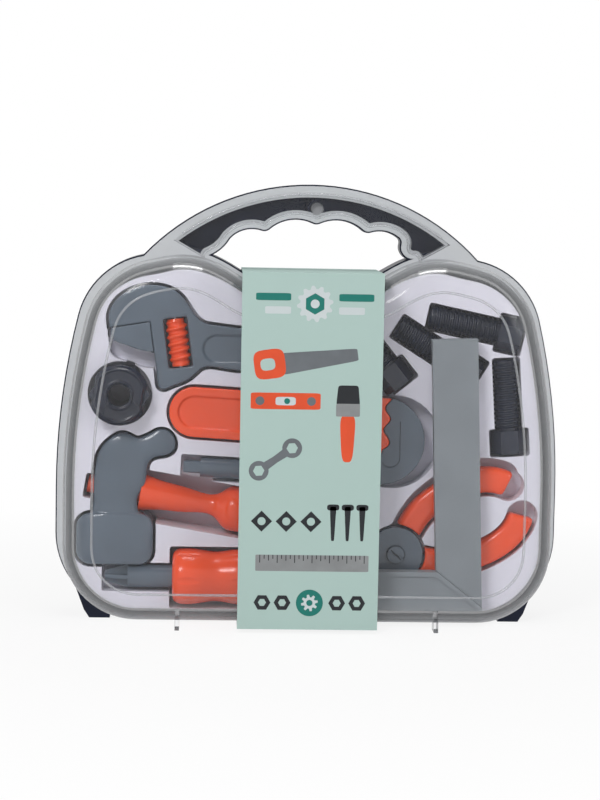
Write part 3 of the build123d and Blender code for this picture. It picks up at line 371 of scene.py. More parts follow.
ORANGE = Finish(
    "orange_plastic", (0.97, 0.088, 0.016), 0.14, 0.22, 300.0, 0.000005, 0.05, coat=0.35, glow=0.05,
)
TOOL_GREY = Finish("grey_plastic", (0.115, 0.145, 0.182), 0.14, 0.22, 420.0, 0.000005, 0.07, coat=0.3)
SQUARE_GREY = Finish("square_plastic", (0.245, 0.270, 0.290), 0.38, 0.5, 520.0, 0.00002, 0.05)
BOLT_BLACK = Finish("bolt_plastic", (0.010, 0.014, 0.030), 0.16, 0.26, 420.0, 0.000002, 0.2, shine=0.55)
SHELL_BLACK = Finish("shell_plastic", (0.009, 0.012, 0.026), 0.32, 0.44, 600.0, 0.00001, 0.2, shine=0.18)
TRAY_WHITE = Finish("tray_sheet", (0.82, 0.81, 0.89), 0.2, 0.32, 120.0, 0.00006, 0.02, glow=0.55)
CARD_MINT = Finish("card_mint", (0.310, 0.425, 0.408), 0.46, 0.56, 900.0, 0.00001, 0.02)
PIN_STEEL = Finish("pin_wire", (0.56, 0.56, 0.57), 0.22, 0.34, 900.0, 0.00001, 0.03, metal=1.0)
# Near-black finish of thin beads that paint shade into the pipe hook's groove, round the pliers screw head
# and into its slot.
PAINTED_SHADE_DARK = Finish("painted_shade_dark", (0.030, 0.036, 0.045), 0.5, 0.6, 500.0, 0.00001, 0.1)
PRINTED = (0.44, 0.54, 900.0, 0.00001)
INK_TEAL = Finish("ink_teal", (0.011, 0.184, 0.150), *PRINTED, 0.03)
INK_WHITE = Finish("ink_white", (0.62, 0.68, 0.69), *PRINTED, 0.02)
INK_BLACK = Finish("ink_black", (0.016, 0.018, 0.022), *PRINTED, 0.1)
INK_GREY = Finish("ink_grey", (0.150, 0.165, 0.180), *PRINTED, 0.1)
INK_SILVER = Finish("ink_silver", (0.270, 0.280, 0.285), *PRINTED, 0.1)
INK_ORANGE = Finish("ink_orange", (0.78, 0.090, 0.030), *PRINTED, 0.05)
LID_CLEAR = ClearFinish("clear_lid")
# Clear plastic made milky even face on, so that its beads paint highlight lines on the lid.
RIDGE_PAINTED_HIGHLIGHT = ClearFinish("clear_ridge_painted_highlight", face_on=0.22)
FLOOR_WHITE = FloorFinish("floor_white")


def corners_of(node: str) -> np.ndarray:
    """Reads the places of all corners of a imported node.

    Args:
        node: Name of the node.

    Returns:
        Array of places, one row each.
    """
    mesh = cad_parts[node].data
    places = np.empty(len(mesh.vertices) * 3)
    mesh.vertices.foreach_get("co", places)
    return places.reshape(-1, 3)


def even_angles(count: int) -> np.ndarray:
    """Returns even angles round a full turn, in radians."""
    return np.linspace(0.0, math.tau, count, endpoint=False)


def upright(x: np.ndarray, y: float, z: np.ndarray) -> np.ndarray:
    """Returns the places of an upright flat line at one depth, one row each."""
    return np.stack([x, np.full_like(x, y), z], axis=1)


def outermost(sector: np.ndarray, reach: np.ndarray) -> np.ndarray:
    """Returns the numbers of the corners that reach farthest, one for each sector."""
    order = np.lexsort((reach, sector))
    return order[np.append(np.diff(sector[order]) > 0, True)]


def evenly(line: np.ndarray, count: int, closed: bool = False) -> np.ndarray:
    """Finds places at even steps along a line.

    Args:
        line: Places along the line, one row each.
        count: Number of places to find.
        closed: Whether the line runs on from its last place to its first.

    Returns:
        Array of places, one row each.
    """
    if closed:
        line = np.concatenate([line, line[:1]])
    passed = np.concatenate([[0.0], np.cumsum(np.linalg.norm(np.diff(line, axis=0), axis=1))])
    steps = np.linspace(0.0, passed[-1], count, endpoint=not closed)
    return np.stack([np.interp(steps, passed, side) for side in line.T], axis=1)


def mesh_object(
    name: str, points: np.ndarray, faces: list[np.ndarray], smooth: bool = True,
) -> bpy.types.Object:
    """Makes an object from points and arrays of faces.

    Args:
        name: Name of the piece.
        points: Places of the corners, one row each.
        faces: Arrays of corner numbers, one row a face.
        smooth: Whether the faces shade smoothly.

    Returns:
        The new object, linked to the scene.
    """
    mesh = bpy.data.meshes.new(name)
    mesh.from_pydata(points.tolist(), [], [row for part in faces for row in part.tolist()])
    mesh.validate()
    mesh.polygons.foreach_set("use_smooth", np.full(len(mesh.polygons), smooth))
    mesh.update()
    piece = bpy.data.objects.new(name, mesh)
    bpy.context.collection.objects.link(piece)
    return piece


def outward(piece: bpy.types.Object) -> None:
    """Merges doubled corners and turns every face of a closed piece outwards.

    Args:
        piece: The piece.
    """
    work = bmesh.new()
    work.from_mesh(piece.data)
    bmesh.ops.remove_doubles(work, verts=work.verts, dist=SAME_CORNER)
    bmesh.ops.recalc_face_normals(work, faces=work.faces)
    work.to_mesh(piece.data)
    work.free()


def tube(name: str, rings: np.ndarray, ends: np.ndarray | None = None) -> bpy.types.Object:
    """Builds a closed piece from rings of corners, with four-sided faces from ring to ring.

    Args:
        name: Name of the piece.
        rings: Places of the corners, by ring and by place round it.
        ends: Points to which the first and the last ring close. Without them these two rings join.

    Returns:
        The piece.
    """
    rows, columns = rings.shape[:2]
    steps = rows if ends is None else rows - 1
    row, column = np.meshgrid(np.arange(steps), np.arange(columns), indexing="ij")
    here = row * columns
    ahead = (row + 1) % rows * columns
    beside = (column + 1) % columns
    sides = np.stack([here + column, ahead + column, ahead + beside, here + beside], axis=-1)
    corners = rings.reshape(-1, 3)
    faces = [sides.reshape(-1, 4)]
    if ends is not None:
        corners = np.concatenate([corners, ends])
        place, after = column[0], beside[0]
        point = np.full(columns, rows * columns)
        last = (rows - 1) * columns
        faces.append(np.stack([point, place, after], axis=1))
        faces.append(np.stack([point + 1, last + after, last + place], axis=1))
    piece = mesh_object(name, corners, faces)
    outward(piece)
    return piece


def bead(
    name: str, line: np.ndarray, radius: float, sides: int = 10, closed: bool = False,
) -> bpy.types.Object:
    """Builds a round bead along a line that lies square to the front direction.

    A corner lies at its point of the line plus the radius times the side and front directions, turned by its
    angle. An open bead closes to a point at both ends.

    Args:
        name: Name of the piece.
        line: Places along the line, one row each.
        radius: Radius of the bead.
        sides: Corners around.
        closed: Whether the line runs on from its last place to its first.

    Returns:
        The bead.
    """
    ahead = np.roll(line, -1, axis=0) - np.roll(line, 1, axis=0) if closed else np.gradient(line, axis=0)
    ahead /= np.linalg.norm(ahead, axis=1)[:, None]
    across = np.cross(ahead, FRONT)[:, None, :]
    angle = even_angles(sides)[None, :, None]
    rings = line[:, None, :] + radius * (np.cos(angle) * across + np.sin(angle) * FRONT)
    return tube(name, rings, None if closed else line[[0, -1]])


@dataclass(frozen=True)
class ToolFrame:
    """Place and lean of a tool in the case.

    Args (fields):
        x: Place of its zero point across the case in metres.
        y: Place front to back.
        z: Height.
        lean: Turn of its length above the horizontal in degrees.
    """

    x: float
    y: float
    z: float
    lean: float

    def origin(self) -> np.ndarray:
        """Returns the zero point."""
        return np.array([self.x, self.y, self.z])

    def along(self) -> np.ndarray:
        """Returns the direction of the tool's length."""
        turn = math.radians(self.lean)
        return np.array([math.cos(turn), 0.0, math.sin(turn)])

    def up(self) -> np.ndarray:
        """Returns the direction square to the length, up the picture."""
        turn = math.radians(self.lean)
        return np.array([-math.sin(turn), 0.0, math.cos(turn)])


@dataclass(frozen=True)
class ScrewThread:
    """Rounded right-hand screw thread on a shank, with two flats and soft ends.

    Args (fields):
        length: Length of the thread in metres.
        root: Radius between the ridges.
        crest: Radius on top of the ridges.
        pitch: Distance from ridge to ridge.
        flat: Distance of the two flats from the axis, or 0 for none.
        steps_a_turn: Rows of corners for each turn.
        columns: Corners around.
        tooth_middle: Height of the tooth's curve at its middle, as a share of the tooth.
        tooth_swing: How far the curve swings from there before its top and foot are cut flat.
    """

    length: float
    root: float
    crest: float
    pitch: float
    flat: float
    steps_a_turn: int
    columns: int
    tooth_middle: float = 0.42
    tooth_swing: float = 0.70

    def radii(self, along: np.ndarray, angle: np.ndarray) -> np.ndarray:
        """Works out the radius over the thread.

        The radius is the root plus the tooth height times a flattened cosine of the turns passed, which are
        the length over the pitch less the angle over a full turn. It fades out within one pitch of each end,
        and is cut at the flats, where it is the flat's distance over the cosine of the angle.

        Args:
            along: Distances from the start.
            angle: Angles around the axis.

        Returns:
            Array of radii.
        """
        turns = along / self.pitch - angle / math.tau
        tooth = np.clip(self.tooth_middle + self.tooth_swing * np.cos(math.tau * turns), 0.0, 1.0)
        fade = np.clip(np.minimum(along, self.length - along) / self.pitch, 0.0, 1.0)
        radius = self.root + (self.crest - self.root) * tooth * fade
        if self.flat:
            cut = self.flat / np.maximum(np.abs(np.cos(angle)), LEAST_COSINE)
            radius = np.minimum(radius, np.maximum(self.root, cut))
        return radius

    def build(self, name: str, place: ToolFrame, start: float) -> bpy.types.Object:
        """Builds the closed thread.

        A corner lies at the centre of its row plus the radius times the side turned by its angle.

        Args:
            name: Name of the piece.
            place: Zero point and direction of the axis.
            start: Distance from the zero point to the thread's start.

        Returns:
            The new object.
        """
        rows = int(round(self.length / self.pitch * self.steps_a_turn)) + 1
        along = np.linspace(0.0, self.length, rows)[:, None]
        angle = even_angles(self.columns)[None, :]
        axis, side = place.along(), place.up()
        first = place.origin() + axis * start
        ring = np.cos(angle)[..., None] * side + np.sin(angle)[..., None] * np.cross(axis, side)
        rings = first + along[..., None] * axis + self.radii(along, angle)[..., None] * ring
        return tube(name, rings, np.stack([first, first + self.length * axis]))


def finished(piece: bpy.types.Object, finish: Surface, body: Body) -> None:
    """Gives a new piece its material and body.

    Args:
        piece: The piece.
        finish: Its finish.
        body: Body that it rides on.
    """
    piece.data.materials.clear()
    piece.data.materials.append(finish.build())
    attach(piece, body.value)
    log.info("%s: %d faces", piece.name, len(piece.data.polygons))


def dress(finish: Surface, *names: str) -> None:
    """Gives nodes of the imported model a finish.

    Args:
        finish: The finish.
        names: Names of the nodes.
    """
    for name in names:
        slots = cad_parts[name].data.materials
        slots.clear()
        slots.append(finish.build())
        log.info("%s: %s", name, finish.title)


@dataclass(frozen=True)
class Moulding:
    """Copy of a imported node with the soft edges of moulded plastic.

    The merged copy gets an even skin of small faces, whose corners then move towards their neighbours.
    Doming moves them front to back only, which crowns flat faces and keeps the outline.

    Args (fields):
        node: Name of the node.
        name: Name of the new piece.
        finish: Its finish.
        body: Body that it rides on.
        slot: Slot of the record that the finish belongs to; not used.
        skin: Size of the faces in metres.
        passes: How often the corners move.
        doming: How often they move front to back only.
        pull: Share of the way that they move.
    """

    node: str
    name: str
    finish: Finish
    body: Body
    slot: Slot
    skin: float
    passes: int
    doming: int = 0
    pull: float = 0.5

    def build(self) -> None:
        """Builds the piece, which stands for its node."""
        piece = bpy.data.objects.new(self.name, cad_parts[self.node].data.copy())
        bpy.context.collection.objects.link(piece)
        outward(piece)
        cover = piece.modifiers.new("skin", "REMESH")
        cover.mode = "VOXEL"
        cover.voxel_size = self.skin
        cover.use_smooth_shade = True
        ease = piece.modifiers.new("ease", "SMOOTH")
        ease.factor = self.pull
        ease.iterations = self.passes
        if self.doming:
            crown = piece.modifiers.new("crown", "SMOOTH")
            crown.factor = self.pull
            crown.iterations = self.doming
            crown.use_x = False
            crown.use_z = False
        graph = bpy.context.evaluated_depsgraph_get()
        shape = bpy.data.meshes.new_from_object(piece.evaluated_get(graph))
        piece.modifiers.clear()
        piece.data = shape
        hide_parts(self.node)
        finished(piece, self.finish, self.body)


@dataclass
class CaseShells:
    """Black rear shell, clear lid with the crease of its raised front, and hinge pins. The crease and the
    handle's edges carry painted highlight lines.

    Args (fields):
        ridge_radius: Radius of the crease line in metres.
        ridge_sink: How deep its middle lies under the front face.
        ridge_steps: Corners along the line.
        ridge_sectors: Directions in which the front face's rim is looked up.
        ridge_columns: Corners around it.
        middle_height: Height of the point round which the line is measured.
        easing: Steps to each side over which the line is evened out.
        handle_middle: Height of the middle of the handle's arc.
        handle_front: Place of the raised channel's front along Y.
        handle_reach: How far its edges are followed to each side in degrees.
        handle_split: Share of the outer edge's reach below which a corner belongs to the inner edge.
        handle_steps: Corners along each edge.
        handle_edge: Radius of the soft edges of the channel, which are milky beads that paint a highlight
            line.
        handle_sink: Share of that radius by which their middle lies behind the channel's front.
    """

    ridge_radius: float = 0.00065
    ridge_sink: float = 0.0003
    ridge_steps: int = 720
    ridge_sectors: float = 360.0
    ridge_columns: int = 12
    middle_height: float = 0.100
    easing: int = 5
    handle_middle: float = 0.1175
    handle_front: float = -0.009
    handle_reach: float = 38.0
    handle_split: float = 0.95
    handle_steps: int = 240
    handle_edge: float = 0.0007
    handle_sink: float = 0.6

    def handle_line(self, outer: bool) -> np.ndarray:
        """Finds one long edge of the raised channel on the handle.

        Of the corners on the channel's front, the farthest or the nearest one to the handle's middle in each
        degree lies on the edge. Places at even steps along it are returned.

        Args:
            outer: Whether the outer edge is wanted, or else the scalloped inner one.

        Returns:
            Array of places along the edge.
        """
        places = corners_of("front_lid")
        on_front = np.abs(places[:, 1] - self.handle_front) < SAME_PLANE
        face = places[on_front & (places[:, 2] > self.handle_middle)]
        height = face[:, 2] - self.handle_middle
        angle = np.degrees(np.arctan2(face[:, 0], height))
        reach = np.hypot(face[:, 0], height)
        near = np.abs(angle) < self.handle_reach
        face, angle, reach = face[near], angle[near], reach[near]
        edge = outermost((angle + self.handle_reach).astype(int), reach if outer else -reach)
        split = reach.max() * self.handle_split
        edge = edge[reach[edge] > split] if outer else edge[reach[edge] < split]
        return evenly(face[edge], self.handle_steps)

    def crease_line(self) -> np.ndarray:
        """Finds the closed line where the lid's flat front ends.

        The farthest corner of the front face in each direction from the middle gives the line's corners.
        Places at even steps along it are evened out by a moving mean.

        Returns:
            Array of places along the line.
        """
        places = corners_of("front_lid")
        front = places[:, 1].min()
        face = places[places[:, 1] < front + SAME_PLANE]
        height = face[:, 2] - self.middle_height
        share = (np.arctan2(height, face[:, 0]) + math.pi) / math.tau
        rim = face[outermost((share * self.ridge_sectors).astype(int), np.hypot(height, face[:, 0]))]
        even = evenly(rim[:, [0, 2]], self.ridge_steps, closed=True)
        wrapped = np.pad(even, ((self.easing, self.easing), (0, 0)), mode="wrap")
        window = 2 * self.easing + 1
        x, z = (np.convolve(side, np.ones(window) / window, mode="valid") for side in wrapped.T)
        return upright(x, front, z)

    def build(self) -> None:
        """Dresses both shells and adds the crease and the handle's soft edges as milky beads, which paint
        highlight lines.
        """
        dress(SHELL_BLACK, "rear_shell")
        dress(LID_CLEAR, "front_lid")
        dress(PIN_STEEL, "hinge_pin_left", "hinge_pin_right")
        middle = self.crease_line() - FRONT * self.ridge_sink
        # The crease bead's milky finish paints a highlight line along the lid's front.
        crease = bead("lid_crease", middle, self.ridge_radius, self.ridge_columns, closed=True)
        finished(crease, RIDGE_PAINTED_HIGHLIGHT, Body.LID)
        # The beads along the channel's edges paint highlight lines in the same milky finish.
        for name, outer in (("handle_edge_outer", True), ("handle_edge_inner", False)):
            line = self.handle_line(outer) - FRONT * self.handle_edge * self.handle_sink
            finished(bead(name, line, self.handle_edge), RIDGE_PAINTED_HIGHLIGHT, Body.LID)


@dataclass
class FormedTray:
    """White vacuum-formed tray with a pocket for each tool."""

    def build(self) -> None:
        """Dresses the tray."""
        dress(TRAY_WHITE, "tool_tray")


@dataclass(frozen=True)
class Ink:
    """One printed shape, in millimetres: an outline that can be seen whole from its middle.

    Args (fields):
        x: Middle of the shape to the right of its motif's middle.
        z: Height over the motif's middle.
        finish: Colour of the ink.
        layer: 0 for the lowest ink, higher numbers lie on top.
    """

    x: float
    z: float
    finish: Finish
    layer: int

    def reach(self, angle: np.ndarray) -> np.ndarray:
        """Returns the outline's distance from the middle at each angle."""
        raise NotImplementedError

    def outline(self, angle: np.ndarray) -> tuple[np.ndarray, np.ndarray]:
        """Returns the outline's offsets from the middle, across and up."""
        reach = self.reach(angle)
        return reach * np.cos(angle), reach * np.sin(angle)


@dataclass(frozen=True)
class Cog(Ink):
    """Round or toothed disc: radius plus tooth height times a flattened sine of the tooth count.

    Args (fields):
        radius: Radius at half the height of the teeth.
        teeth: Number of teeth.
        tooth: Half of their height.
        steepness: How steep their sides are.
    """

    radius: float
    teeth: int = 0
    tooth: float = 0.0
    steepness: float = 2.2

    def reach(self, angle: np.ndarray) -> np.ndarray:
        """Returns the disc's radius at each angle."""
        return self.radius + self.tooth * np.clip(self.steepness * np.sin(self.teeth * angle), -1.0, 1.0)


@dataclass(frozen=True)
class Facet(Ink):
    """Regular polygon: flat distance over the cosine of the angle to the nearest flat.

    Args (fields):
        flat: Distance of each side from the middle.
        sides: Number of sides.
        turn: Turn of the whole shape in degrees.
    """

    flat: float
    sides: int
    turn: float = 0.0

    def reach(self, angle: np.ndarray) -> np.ndarray:
        """Returns the polygon's distance from its middle at each angle."""
        part = math.tau / self.sides
        return self.flat / np.cos((angle - math.radians(self.turn)) % part - part / 2.0)


@dataclass(frozen=True)
class Bar(Ink):
    """Rounded or tapered bar: a box curve whose two half sizes are raised to a power, turned by its lean.

    Args (fields):
        length: Full length.
        width: Full width.
        lean: Turn of its length in degrees.
        power: 2 for an ellipse, larger for a squarer bar.
        taper: Share by which the far end is narrower.
        waist: Share by which the middle is narrower.
    """

    length: float
    width: float
    lean: float
    power: float
    taper: float = 0.0
    waist: float = 0.0

    def outline(self, angle: np.ndarray) -> tuple[np.ndarray, np.ndarray]:
        """Gives the bar's offsets from its middle.

        Args:
            angle: Angles of its points.

        Returns:
            Offsets across and up.
        """
        across = np.sign(np.cos(angle)) * np.abs(np.cos(angle)) ** (2.0 / self.power)
        upward = np.sign(np.sin(angle)) * np.abs(np.sin(angle)) ** (2.0 / self.power)
        narrow = 1.0 - self.taper * (across + 1.0) / 2.0 - self.waist * np.cos(math.pi * across / 2.0) ** 2
        along = across * self.length / 2.0
        side = upward * narrow * self.width / 2.0
        cosine, sine = math.cos(math.radians(self.lean)), math.sin(math.radians(self.lean))
        return along * cosine - side * sine, along * sine + side * cosine


@dataclass
class CardBand:
    """Mint card band with a print of plain hardware shapes.

    Args (fields):
        lift: Height of the lowest ink over the card in metres.
        layer_step: Height from one ink to the next.
        points: Corners of each outline.
    """

    lift: float = 0.02 * MM
    layer_step: float = 0.02 * MM
    points: int = 96

    def motifs(self) -> list[tuple[float, float, list[Ink]]]:
        """Lists the motifs with their middles, in millimetres from the case's middle and the ground."""
        return [
            (1.0, 181.0, self.emblem()), (-3.0, 152.0, self.saw()), (20.0, 119.0, self.brush()),
            (-14.0, 128.0, self.level()), (-19.0, 96.0, self.spanner()), (-4.0, 62.0, self.hardware()),
            (2.0, 39.0, self.ruler()), (1.0, 17.0, self.footer()),
        ]

    def emblem(self) -> list[Ink]:
        """Returns a white cog with a teal nut in it, with a teal and a white bar at each side."""
        shapes: list[Ink] = [
            Cog(0.0, 0.0, INK_WHITE, 0, 9.0, 12, 0.9),
            Facet(0.0, 0.0, INK_TEAL, 1, 5.0, 6, 30.0),
            Cog(0.0, 0.0, INK_WHITE, 2, 2.4),
        ]
        for side in (-1, 1):
            shapes.append(Bar(side * 22.5, 3.6, INK_TEAL, 0, 19.0, 4.0, 0.0, 10.0))
            shapes.append(Bar(side * 20.0, -3.6, INK_WHITE, 0, 14.0, 4.0, 0.0, 10.0))
        return shapes

    def saw(self) -> list[Ink]:
        """Returns a hand saw: tapered grey blade, orange grip with its finger hole."""
        return [
            Bar(7.0, -1.0, INK_GREY, 0, 42.0, 12.0, 8.0, 16.0, 0.45),
            Bar(-20.0, -4.0, INK_ORANGE, 1, 17.0, 16.0, 8.0, 4.0),
            Bar(-21.0, -4.2, CARD_MINT, 2, 8.0, 6.5, 8.0, 3.0),
        ]

    def brush(self) -> list[Ink]:
        """Returns a flat brush: orange handle, silver sleeve, black bristles."""
        return [
            Bar(0.0, -11.0, INK_ORANGE, 0, 26.0, 6.0, 90.0, 4.0, -0.5),
            Bar(0.0, 4.5, INK_SILVER, 1, 7.0, 13.0, 90.0, 16.0),
            Bar(0.0, 12.5, INK_BLACK, 0, 11.0, 13.0, 90.0, 9.0, 0.15),
        ]

    def level(self) -> list[Ink]:
        """Returns a spirit level: orange bar with a grey spot at each end, white window, teal bubble."""
        return [
            Bar(0.0, 0.0, INK_ORANGE, 0, 38.0, 9.0, 0.0, 16.0),
            Bar(0.0, 0.0, INK_WHITE, 1, 11.0, 4.6, 0.0, 5.0),
            Cog(0.8, 0.0, INK_TEAL, 2, 1.6),
            Cog(-14.0, 0.0, INK_GREY, 1, 2.4),
            Cog(14.0, 0.0, INK_GREY, 1, 2.4),
        ]

    def spanner(self) -> list[Ink]:
        """Returns a ring spanner: grey waisted bar with a ring at each end."""
        reach, lean = 11.0, 35.0
        shapes: list[Ink] = [Bar(0.0, 0.0, INK_GREY, 0, 24.0, 5.2, lean, 8.0, 0.0, 0.25)]
        for end in (-reach, reach):
            x, z = end * math.cos(math.radians(lean)), end * math.sin(math.radians(lean))
            shapes.append(Cog(x, z, INK_GREY, 1, 5.4))
            shapes.append(Facet(x, z, CARD_MINT, 2, 2.7, 6, 5.0))
        return shapes

    def hardware(self) -> list[Ink]:
        """Returns a row of black square nuts on edge beside three black screws with round heads."""
        shapes: list[Ink] = []
        for x in (-22.0, -8.5, 5.0):
            shapes.append(Facet(x, 0.0, INK_BLACK, 0, 4.1, 4))
            shapes.append(Cog(x, 0.0, CARD_MINT, 1, 2.2))
        for x in (17.0, 25.0, 33.0):
            shapes.append(Bar(x, -1.0, INK_BLACK, 0, 19.0, 3.6, -90.0, 10.0, 0.55))
            shapes.append(Bar(x, 8.0, INK_BLACK, 0, 6.6, 3.4, 0.0, 3.5))
        return shapes

    def ruler(self) -> list[Ink]:
        """Returns a silver rule with dark tick lines of three lengths."""
        length, width, ticks = 62.0, 9.0, 25
        shapes: list[Ink] = [Bar(0.0, 0.0, INK_SILVER, 0, length, width, 0.0, 40.0)]
        for tick in range(ticks):
            depth = (4.4, 2.2, 3.2, 2.2)[tick % 4]
            place = (tick + 1) * length / (ticks + 1) - length / 2.0
            shapes.append(Bar(place, (width - depth) / 2.0, INK_BLACK, 1, depth, 0.45, 90.0, 30.0))
        return shapes

    def footer(self) -> list[Ink]:
        """Returns a teal spot with a white cog in it, with two small dark hexagons at each side."""
        shapes: list[Ink] = [
            Cog(0.0, 0.0, INK_TEAL, 0, 7.4),
            Cog(0.0, 0.0, INK_WHITE, 1, 3.9, 8, 0.7),
            Cog(0.0, 0.0, INK_TEAL, 2, 1.7),
        ]
        for x in (-26.0, -15.0, 15.0, 26.0):
            shapes.append(Facet(x, 0.0, INK_BLACK, 0, 4.0, 6))
            shapes.append(Facet(x, 0.0, CARD_MINT, 1, 1.9, 6))
        return shapes

    def print_shape(self, name: str, ink: Ink, x: float, z: float, face: float) -> bpy.types.Object:
        """Builds one printed shape as a fan of faces round its middle.

        Args:
            name: Name of the object.
            ink: The shape.
            x: Middle of its motif across the case in millimetres.
            z: Height of its motif's middle.
            face: Place of the card's face along Y in metres.

        Returns:
            The new object.
        """
        across, upward = (np.append(side, 0.0) for side in ink.outline(even_angles(self.points)))
        height = face - self.lift - ink.layer * self.layer_step
        corners = upright((x + ink.x + across) * MM, height, (z + ink.z + upward) * MM)
        corner = np.arange(self.points)
        fan = np.stack([np.full(self.points, self.points), corner, (corner + 1) % self.points], axis=1)
        return mesh_object(name, corners, [fan], smooth=False)

    def build(self) -> None:
        """Dresses both cards and joins the print of each colour into one piece."""
        dress(CARD_MINT, "card_front", "card_back")
        face = float(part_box("card_front")[0][1])
        placed = [(ink, x, z) for x, z, shapes in self.motifs() for ink in shapes]
        by_finish: dict[Finish, list[bpy.types.Object]] = {}
        for number, (ink, x, z) in enumerate(placed):
            shape = self.print_shape(f"card_print_{number:02d}", ink, x, z, face)
            by_finish.setdefault(ink.finish, []).append(shape)
        for finish, shapes in by_finish.items():
            with bpy.context.temp_override(active_object=shapes[0], selected_editable_objects=shapes):
                bpy.ops.object.join()
            shapes[0].name = f"card_{finish.title}"
            finished(shapes[0], finish, Body.LID)


@dataclass
class AdjustableWrench:
    """Grey wrench with its sliding jaw, orange worm and steel worm pin.

    Args (fields):
        mouldings: Its soft-edged pieces.
        worm_place: Middle and lean of the worm.
        worm: The worm's thread.
    """

    mouldings: tuple[Moulding, ...] = (
        Moulding("wrench_body", "wrench_moulding", TOOL_GREY, Body.CASE, Slot.GREY, 0.6 * MM, 4),
        Moulding("wrench_jaw", "wrench_slide_jaw", TOOL_GREY, Body.WRENCH_JAW, Slot.GREY, 0.5 * MM, 3),
    )
    worm_place: ToolFrame = ToolFrame(-73.4 * MM, 5.0 * MM, 156.4 * MM, -82.4)
    worm: ScrewThread = ScrewThread(26.6 * MM, 4.9 * MM, 6.2 * MM, 4.2 * MM, 0.0, 20, 64)

    def build(self) -> None:
        """Rounds body and jaw and gives the worm its thread."""
        for moulding in self.mouldings:
            moulding.build()
        thread = self.worm.build("wrench_worm_thread", self.worm_place, -self.worm.length / 2.0)
        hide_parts("wrench_worm")
        finished(thread, ORANGE, Body.WRENCH_WORM)
        dress(PIN_STEEL, "wrench_pin")


@dataclass
class PipeWrench:
    """Orange pipe wrench with its grey hook jaw and thumb nut.

    Args (fields):
        mouldings: Its soft-edged pieces.
        groove_x: Place of the hook's long groove across the case in metres.
        groove_top: Height of its upper end.
        groove_low: Height where it starts to turn.
        groove_bend: Radius of its turn.
        groove_turn: How far it turns in degrees.
        groove_steps: Corners along its straight part and along its turn.
        line_radius: Radius of the painted shade line along the groove.
        line_sink: Share of that radius by which it lies in the hook.
    """

    mouldings: tuple[Moulding, ...] = (
        Moulding("pipe_handle", "pipe_wrench_handle", ORANGE, Body.CASE, Slot.ORANGE, 0.6 * MM, 4),
        Moulding("pipe_jaw", "pipe_wrench_hook", TOOL_GREY, Body.PIPE_JAW, Slot.GREY, 0.5 * MM, 3),
    )
    groove_x: float = 51.7 * MM
    groove_top: float = 114.0 * MM
    groove_low: float = 93.5 * MM
    groove_bend: float = 5.2 * MM
    groove_turn: float = 150.0
    groove_steps: tuple[int, int] = (12, 19)
    line_radius: float = 0.3 * MM
    line_sink: float = 0.6

    def groove_line(self) -> np.ndarray:
        """Works out the groove: a straight line down, then an arc round to the left.

        Returns:
            Array of places along it.
        """
        straight, bent = self.groove_steps
        front = float(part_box("pipe_jaw")[0][1]) + self.line_radius * self.line_sink
        heights = np.linspace(self.groove_top, self.groove_low, straight)
        turn = -np.radians(np.linspace(0.0, self.groove_turn, bent)[1:])
        left = np.concatenate([np.zeros(straight), self.groove_bend * (1.0 - np.cos(turn))])
        z = np.concatenate([heights, self.groove_low + self.groove_bend * np.sin(turn)])
        return upright(self.groove_x - left, front, z)

    def build(self) -> None:
        """Rounds handle and hook, dresses the nut and lays a painted shade line along the hook's groove."""
        for moulding in self.mouldings:
            moulding.build()
        dress(ORANGE, "pipe_nut")
        # A dark bead paints the shade inside the hook's groove.
        groove = bead("pipe_hook_groove_painted_shade", self.groove_line(), self.line_radius)
        finished(groove, PAINTED_SHADE_DARK, Body.PIPE_JAW)


@dataclass
class Hammer:
    """Claw hammer with a softly rounded grey head on an orange handle.

    Args (fields):
        head: The rounded head.
    """

    head: Moulding = Moulding(
        "hammer_head", "hammer_head_moulding", TOOL_GREY, Body.CASE, Slot.GREY, 0.9 * MM, 8, 420,
    )

    def build(self) -> None:
        """Rounds the head and dresses the handle."""
        self.head.build()
        dress(ORANGE, "hammer_handle")


@dataclass
class Screwdriver:
    """Orange screwdriver with a grey shaft, and the loose bit."""

    def build(self) -> None:
        """Dresses handle, shaft and bit."""
        dress(ORANGE, "screwdriver_handle")
        dress(TOOL_GREY, "screwdriver_shaft", "driver_bit")


